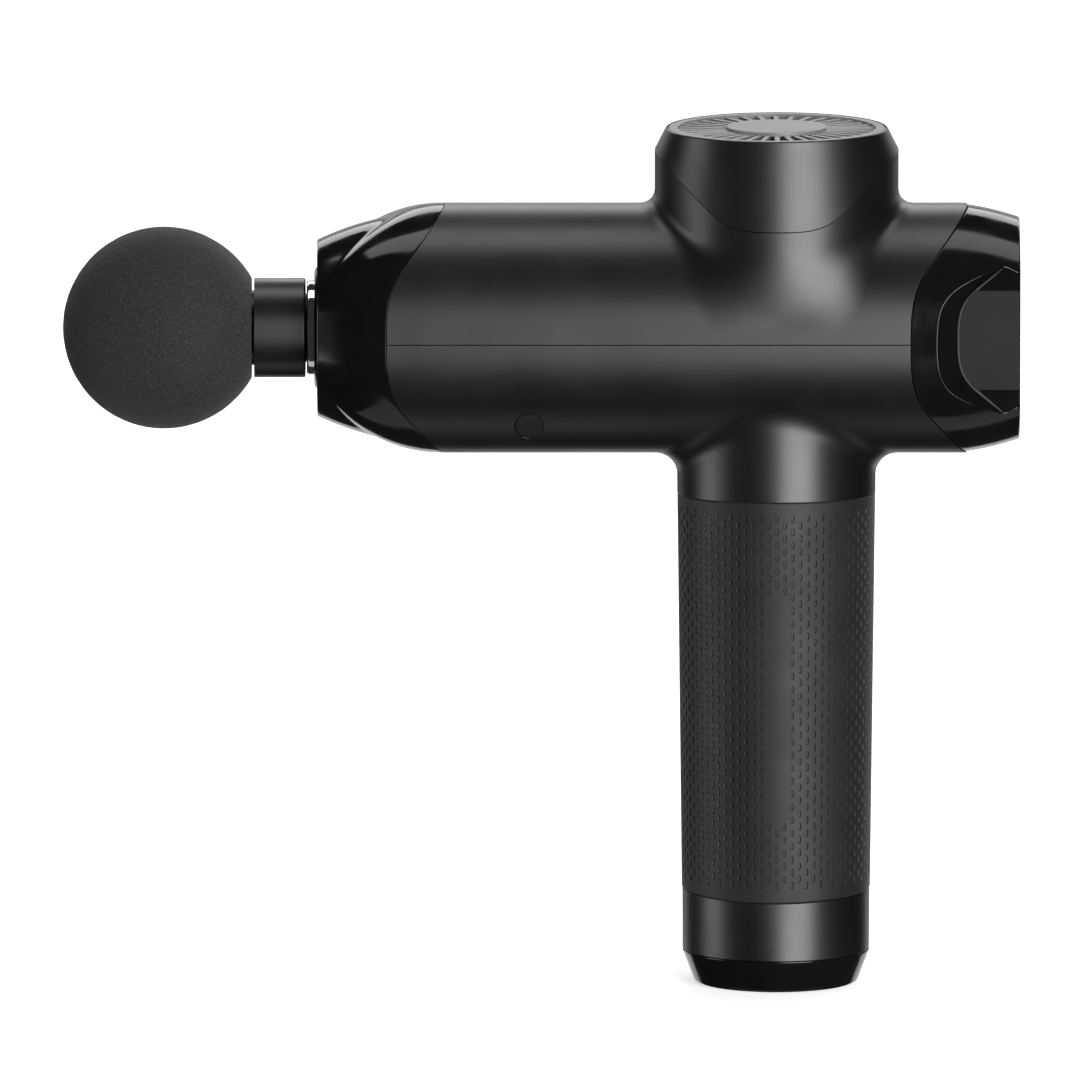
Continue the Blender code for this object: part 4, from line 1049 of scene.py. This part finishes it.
def make_panel(side, sign):
    """A flat matt panel on the recess's floor, following its front corners."""
    rows, steps = 48, 6
    bevel = ((0.0, PANEL_RISE - PANEL_EDGE), (0.3 * PANEL_EDGE, PANEL_RISE - 0.3 * PANEL_EDGE))
    points, rings = [], []
    for shrink, rise in ((0.0, -0.02), *bevel, (PANEL_EDGE, PANEL_RISE)):
        half = PANEL_HALF - shrink
        rear = REAR_FACE - 0.2 - shrink
        heights = [half * (2 * j / rows - 1) for j in range(rows + 1)]
        ring = [(float(recess_foot(z)) + 0.55 + shrink, z) for z in heights]
        start = ring[0][0]
        ring += [(start + (rear - start) * k / steps, half) for k in range(1, steps + 1)]
        ring += [(rear, -z) for z in heights[1:]]
        ring += [(start + (rear - start) * (steps - k) / steps, -half) for k in range(1, steps)]
        rings.append(range(len(points), len(points) + len(ring)))
        points += [(x, sign * (RECESS_FLOOR + rise), AXIS + z) for x, z in ring]
    faces = []
    for low, high in zip(rings, rings[1:]):
        for k in range(len(low)):
            m = (k + 1) % len(low)
            faces.append([low[k], low[m], high[m], high[k]])
    faces += [rings[0][::-1], rings[-1]]
    made = add_object(f"panel_{side}", points, faces)
    crisp_piece(made, "matt_grey", f"side_panel_{side}", angle=30)


def make_rear_face():
    """Smoked lens, power button with its mark, and the light ring that shows round it."""
    low, high = box("rear_lens")
    radius = turned_radius("rear_lens")
    hole, face = 6.9, high.x - 0.05
    corners = [(hole, low.x, 0), (radius, low.x, 0), (radius, high.x, 0.45)]
    for groove in (11.45, 8.65):
        corners += [(groove + 0.15, face, 0.1), (groove, face - 0.17, 0.1), (groove - 0.15, face, 0.1)]
    turned_piece("lens", 160, corners + [(hole, face, 0.3)], "gloss_black", "rear_lens")
    low, high = box("power_button")
    flange, cap, step, back = 7.4, 6.5, low.x + 1.0, high.x
    corners = [(0, low.x, 0), (flange, low.x, 0.1), (flange, step, 0.1), (cap, step, 0.1)]
    corners += [(cap, back, 0.5), (4.4, back - 0.18, 1.0), (0, back - 0.28, 0)]
    turned_piece("button_cap", 128, corners, "satin_black", "power_button", body="button")
    make_power_mark(back - 0.22)


def make_power_mark(place):
    """The usual open ring and bar of a power key, a hair above the button's dished face."""
    radius, width, rise = 2.3, 0.22, 0.10
    ring = []
    for r, order in ((radius + width, 1), (radius - width, -1)):
        bend = [math.radians(35 + 290 * k / 40) for k in range(41)][::order]
        ring += [(r * math.sin(a), r * math.cos(a)) for a in bend]
    bar = [(-width, 0.4), (-width, 3.0), (width, 3.0), (width, 0.4)]
    points, faces = [], []
    for shape in (ring, bar):
        first = len(points)
        count = len(shape)
        for x in (place - 0.15, place + rise):
            points += [(x, across, AXIS + up) for across, up in shape]
        for i in range(count):
            j = (i + 1) % count
            faces.append([first + i, first + j, first + count + j, first + count + i])
        for k in range(count // 2 - 1):
            for base in (first, first + count):
                faces.append([base + k, base + k + 1, base + count - 2 - k, base + count - 1 - k])
    made = add_object("power_mark", points, faces)
    face_outwards(made)
    made.data.shade_flat()
    finish_piece(made, "light_guide", body="button")


# ---- handle

GRIP_COLUMNS = 78
GRIP_TOP = GRIP_HIGH.x  # the sleeve's radius at its upper end
GRIP_BOTTOM = GRIP_TOP - 1.15
GRIP_BORE = 21.6
DIMPLE_PITCH = 3.13
DIMPLE_WIDTH = 0.86
DIMPLE_LENGTH = 1.9
DIMPLE_DEPTH = 0.32


def grip_radius(z):
    return GRIP_BOTTOM + (GRIP_TOP - GRIP_BOTTOM) * (z - GRIP_LOW.z) / (GRIP_HIGH.z - GRIP_LOW.z)


def make_grip():
    """A rubber sleeve with rows of small slots moulded into it, alternate columns half a pitch apart."""
    first = GRIP_LOW.z + 3.6
    rows = int((GRIP_HIGH.z - 2.6 - first) / DIMPLE_PITCH)
    tile = (GRIP_HIGH.z - 3.2 - first) / rows
    step = math.tau / GRIP_COLUMNS
    half = GRIP_COLUMNS // 2
    plain_low, plain_high = GRIP_LOW.z + 18.2, first + tile * (rows - 5.75)
    points, faces = [], []
    known = {}

    def put(radius, angle, z):
        points.append((radius * math.sin(angle), -radius * math.cos(angle), z))
        return len(points) - 1

    def corner(angle, z):
        """A corner of the grid, which its neighbours share."""
        spot = (round(angle, 5), round(z, 4))
        if spot not in known:
            known[spot] = put(grip_radius(z), angle, z)
        return known[spot]

    def slot_ring(angle, z, grow, sink):
        """Ten points round a slot's outline."""
        across = DIMPLE_WIDTH / 2 + grow
        run = (DIMPLE_LENGTH - DIMPLE_WIDTH) / 2
        out = []
        for centre, start in ((run, 0), (-run, 180)):
            for k in range(5):
                turn = math.radians(start + 45 * k)
                height = z + centre + across * math.sin(turn)
                sideways = across * math.cos(turn) / grip_radius(z)
                out.append(put(grip_radius(height) - sink, angle + sideways, height))
        return out

    for column in range(GRIP_COLUMNS):
        angle = (column - half) * step
        odd = column % 2
        left, right = round(angle - step / 2, 5), round(angle + step / 2, 5)
        for row in range(rows + odd):
            z = first - (tile / 2 if odd else 0.0) + tile * (row + 0.5)
            low, high = z - tile / 2, z + tile / 2
            c = [corner(right, z), corner(right, high), corner(left, high)]
            c += [corner(left, z), corner(left, low), corner(right, low)]
            if abs(column - half) <= 1 and plain_low < z < plain_high:
                faces.append([c[5], *c[:5]])
                continue
            rim = slot_ring(angle, z, 0.0, 0.0)
            middle = slot_ring(angle, z, -0.07, 0.08)
            floor = slot_ring(angle, z, -0.17, DIMPLE_DEPTH)
            t, b = rim[:5], rim[5:]
            faces += [[c[0], c[1], t[1], t[0]], [c[1], c[2], t[3], t[2], t[1]], [c[2], c[3], t[4], t[3]]]
            faces += [[c[3], b[0], t[4]], [c[3], c[4], b[1], b[0]], [c[4], c[5], b[3], b[2], b[1]]]
            faces += [[c[5], c[0], b[4], b[3]], [c[0], t[0], b[4]]]
            for inner, outer in ((middle, rim), (floor, middle)):
                for i, j in enumerate((*range(1, 10), 0)):
                    faces.append([outer[i], outer[j], inner[j], inner[i]])
            faces.append(floor)

    seams = [(column - half - 0.5) * step for column in range(GRIP_COLUMNS + 1)]
    last = first + tile * rows
    ends = (last, 1, GRIP_HIGH.z, GRIP_SEAM_BOW), (first, -1, GRIP_LOW.z, -BASE_SEAM_BOW)
    bands = [grip_end(put, seams, edge + sign * tile / 2, sign, seam, bow) for edge, sign, seam, bow in ends]
    after = [(i + 1) % GRIP_COLUMNS for i in range(GRIP_COLUMNS)]
    for band in bands:
        for i, j in enumerate(after):
            for k in range(len(band[0]) - 1):
                faces.append([band[i][k], band[j][k], band[j][k + 1], band[i][k + 1]])
    for i, j in enumerate(after):
        left, right = seams[i], seams[i + 1]
        for band, (edge, sign, _, _) in zip(bands, ends):
            beyond = edge + sign * tile / 2
            level = beyond if i % 2 else edge
            face = [corner(left, level), corner(right, level)]
            if i % 2:
                faces.append([*face, band[j][0], band[i][0]])
            else:
                faces.append([*face, corner(right, beyond), band[j][0], band[i][0], corner(left, beyond)])
    top, bottom = bands
    faces += [[top[i][-1], top[j][-1], bottom[j][-1], bottom[i][-1]] for i, j in enumerate(after)]
    made = add_object("grip", points, faces)
    face_outwards(made, weld=0.002)
    made.data.set_sharp_from_angle(angle=math.radians(50))
    smooth_grip(made)
    finish_piece(made, "rubber_black", "grip_sleeve")


def grip_end(put, seams, base, sign, seam, bow):
    """A plain band beyond the slots, its rolled edge and the bore's edge, column by column.

    The band keeps the sleeve's taper, except where its rim is thin.
    """
    band = []
    for angle in seams[:-1]:
        end = bowed(seam, bow, math.sin(angle), -math.cos(angle)) - sign * SEAM_GAP / 2
        heights = [base + (end - sign * 0.3 - base) * k / 3 for k in (1, 2, 3)]
        rim = grip_radius(end)
        thick = rim > GRIP_BORE + 1
        column = [put(grip_radius(z) if thick else rim, angle, z) for z in heights]
        column.append(put(rim - 0.09, angle, end - sign * 0.08))
        column += [put(radius, angle, end) for radius in (rim - 0.3, GRIP_BORE)]
        band.append(column)
    return band


def smooth_grip(made):
    """Give the sleeve's own surface the normals of its cone, so that the slots' small faces don't show."""
    mesh = made.data
    corner = values_of(mesh.corner_normals, "vector", 3, np.float32).astype(float)
    face_normal = np.repeat([p.normal for p in mesh.polygons], [p.loop_total for p in mesh.polygons], axis=0)
    vert = values_of(mesh.loops, "vertex_index", 1, int)[:, 0]
    co = values_of(mesh.vertices, "co", 3)[vert] / MM
    cone = co * (1, 1, 0)
    distance = np.linalg.norm(cone, axis=1)
    cone /= distance[:, None]
    cone[:, 2] = (GRIP_BOTTOM - GRIP_TOP) / (GRIP_HIGH.z - GRIP_LOW.z)
    cone /= np.linalg.norm(cone, axis=1)[:, None]
    outer = (np.abs(distance - grip_radius(co[:, 2])) < 0.02) & ((face_normal * cone).sum(1) > 0.99)
    corner[outer] = cone[outer]
    mesh.normals_split_custom_set(corner.tolist())


def make_base_ring():
    """A satin ring whose top edge follows the grip's seam."""
    radius = box("base_ring")[1].x
    bottom = box("base_cap")[1].z + SEAM_GAP
    bore = 21.4

    def outline(turn):
        top = bowed(GRIP_LOW.z, -BASE_SEAM_BOW, math.cos(turn), math.sin(turn)) - SEAM_GAP / 2
        outside = [(radius - 0.02, bottom, 0.15), (radius, bottom + 2.0, 0), (radius + 0.06, top, 0.2)]
        return rounded([(bore, bottom, 0), *outside, (bore, top, 0)])

    swept_piece("handle_ring", 160, outline, "satin_black", "base_ring", along="Z")


def make_base_cap():
    """A gloss foot with two screw recesses and the charging inlet underneath."""
    _, high = box("base_cap")
    radius, top = high.x, high.z
    corners = [(0, top - 1.0, 0), (radius - 2.0, top - 1.0, 0), (radius - 2.0, top, 0), (radius, top, 0.15)]
    corners += [(radius, top - 0.3, 0), (19.75, 0.5, 0.7), (19.1, 0.0, 0.3), (12.0, 0.0, 0), (0, 0.0, 0)]
    cuts = [drill(3.6, (*middle_of("charge_jack")[:2], 0))]
    for side in ("left", "right"):
        spot = (*middle_of(f"base_screw_{side}")[:2], 0)
        cuts += [drill(3.0, spot, length=4.2), drill(1.7, spot)]
    turned_piece("foot", 160, corners, "gloss_black", "base_cap", along="Z", cuts=cuts)


# ---- nodes kept from CAD


def dress_nodes():
    """Every CAD node that stays in view takes the material of its slot."""
    slots = {row["node"]: row["material_slot"] for row in frame["record"]["subparts"]}
    for name, node in frame["nodes"].items():
        node.data.materials.clear()
        node.data.materials.append(materials[slots[name]])


# ---- studio

FOCUS = Vector((-56.7, 0.0, 106.9))
LIGHTS_AIM = Vector((0.0, 0.0, 120.0))
LIGHTS_DISTANCE = 1.3
SOFTBOXES = {  # azimuth, elevation, width, height, power
    "key": (25, 2, 0.86, 1.40, 33),
    "left": (-83, -3, 0.60, 1.0, 5.5),
    "left_rim": (-150, 2, 0.30, 1.0, 0.4),
    "right_rim": (155, 2, 0.40, 1.0, 0.5),
    "behind": (180, 9, 2.2, 0.42, 1.6),
    "top": (180, 82, 1.7, 0.55, 7.5),
    "back_top": (180, 30, 1.7, 0.42, 6),
    "under": (180, -88, 1.7, 0.45, 1.2),
    "back_under": (180, -24, 1.7, 0.42, 2.2),
}
WORLD_LIGHT = 0.03
FLOOR_SIZE = 8000
FLOOR_GLOW = (0.60, 1.0)


def look_from(made, azimuth, elevation, focus, distance):
    """Aim an object at a focus. Azimuth 0 is the near side and 90 the rear end; distance is in metres."""
    a, e = math.radians(azimuth), math.radians(elevation)
    away = Vector((math.sin(a) * math.cos(e), -math.cos(a) * math.cos(e), math.sin(e)))
    made.location = focus * MM + away * distance
    made.rotation_euler = (-away).to_track_quat("-Z", "Y").to_euler()


def make_camera():
    lens = bpy.data.cameras.new("camera")
    configure(lens, sensor_width=36.0, lens=1100.0, clip_start=0.1, clip_end=60.0)
    made = new_object("camera", lens)
    look_from(made, 0, 8.5, FOCUS, 7.92)
    bpy.context.scene.camera = made


def make_studio():
    """Soft lights round the gun, a white surround and a pale floor."""
    for name, (azimuth, elevation, width, height, power) in SOFTBOXES.items():
        light = bpy.data.lights.new(name, "AREA")
        configure(light, shape="RECTANGLE", size=width, size_y=height, energy=power)
        made = configure(new_object(name, light), visible_camera=False)
        look_from(made, azimuth, elevation, LIGHTS_AIM, LIGHTS_DISTANCE)
    world = bpy.data.worlds.new("studio")
    world.use_nodes = True
    tree = world.node_tree
    path = tree.nodes.new("ShaderNodeLightPath")
    level = tree.nodes.new("ShaderNodeMapRange")
    level.inputs["To Min"].default_value = WORLD_LIGHT
    level.inputs["To Max"].default_value = 1.0
    tree.links.new(path.outputs["Is Camera Ray"], level.inputs["Value"])
    tree.links.new(level.outputs["Result"], tree.nodes["Background"].inputs["Strength"])
    tree.nodes["Background"].inputs["Color"].default_value = (1.0, 1.0, 1.0, 1.0)
    bpy.context.scene.world = world
    make_floor()
    bpy.context.scene.view_settings.view_transform = "Standard"


def make_floor():
    """A large pale sheet that is lit evenly and doesn't tint the gun from below."""
    half = FLOOR_SIZE
    corners = [(-half, -half, 0), (half, -half, 0), (half, half, 0), (-half, half, 0)]
    floor = add_object("floor", corners, [[0, 1, 2, 3]])
    floor.location.z = -0.1 * MM
    paper = textured("floor_paper", (0.90, 0.90, 0.90), (0.93, 0.93, 0.93), (0.80, 0.90), 3.0)
    distance = paper.add("VectorMath", {0: paper.place}, operation="LENGTH").outputs["Value"]
    glow = paper.spread(distance, *FLOOR_GLOW, 0.1, 1.6)
    inputs = {"Emission Color": (1.0, 1.0, 1.0, 1.0), "Emission Strength": glow}
    paper.feed(paper.tree.nodes["Principled BSDF"], inputs)
    floor.data.materials.append(paper.material)
    configure(floor, visible_glossy=False, visible_diffuse=False, visible_shadow=False)


# ---- build

make_camera()
materials = make_materials()
# A copy of the smoked gloss plastic with weaker reflections, as painted shade in the side recesses.
recess_shaded_plastic = smoked("recess_shaded_plastic", 0.12, (0.05, 0.08)).material
dress_nodes()
make_housings()
make_tongues()
make_screw_plugs()
make_top_cap()
make_vent()
make_front_cover()
make_bezel()
make_ball()
make_shank()
make_plunger()
make_rear_cover()
make_rear_face()
make_grip()
make_base_ring()
make_base_cap()
make_studio()
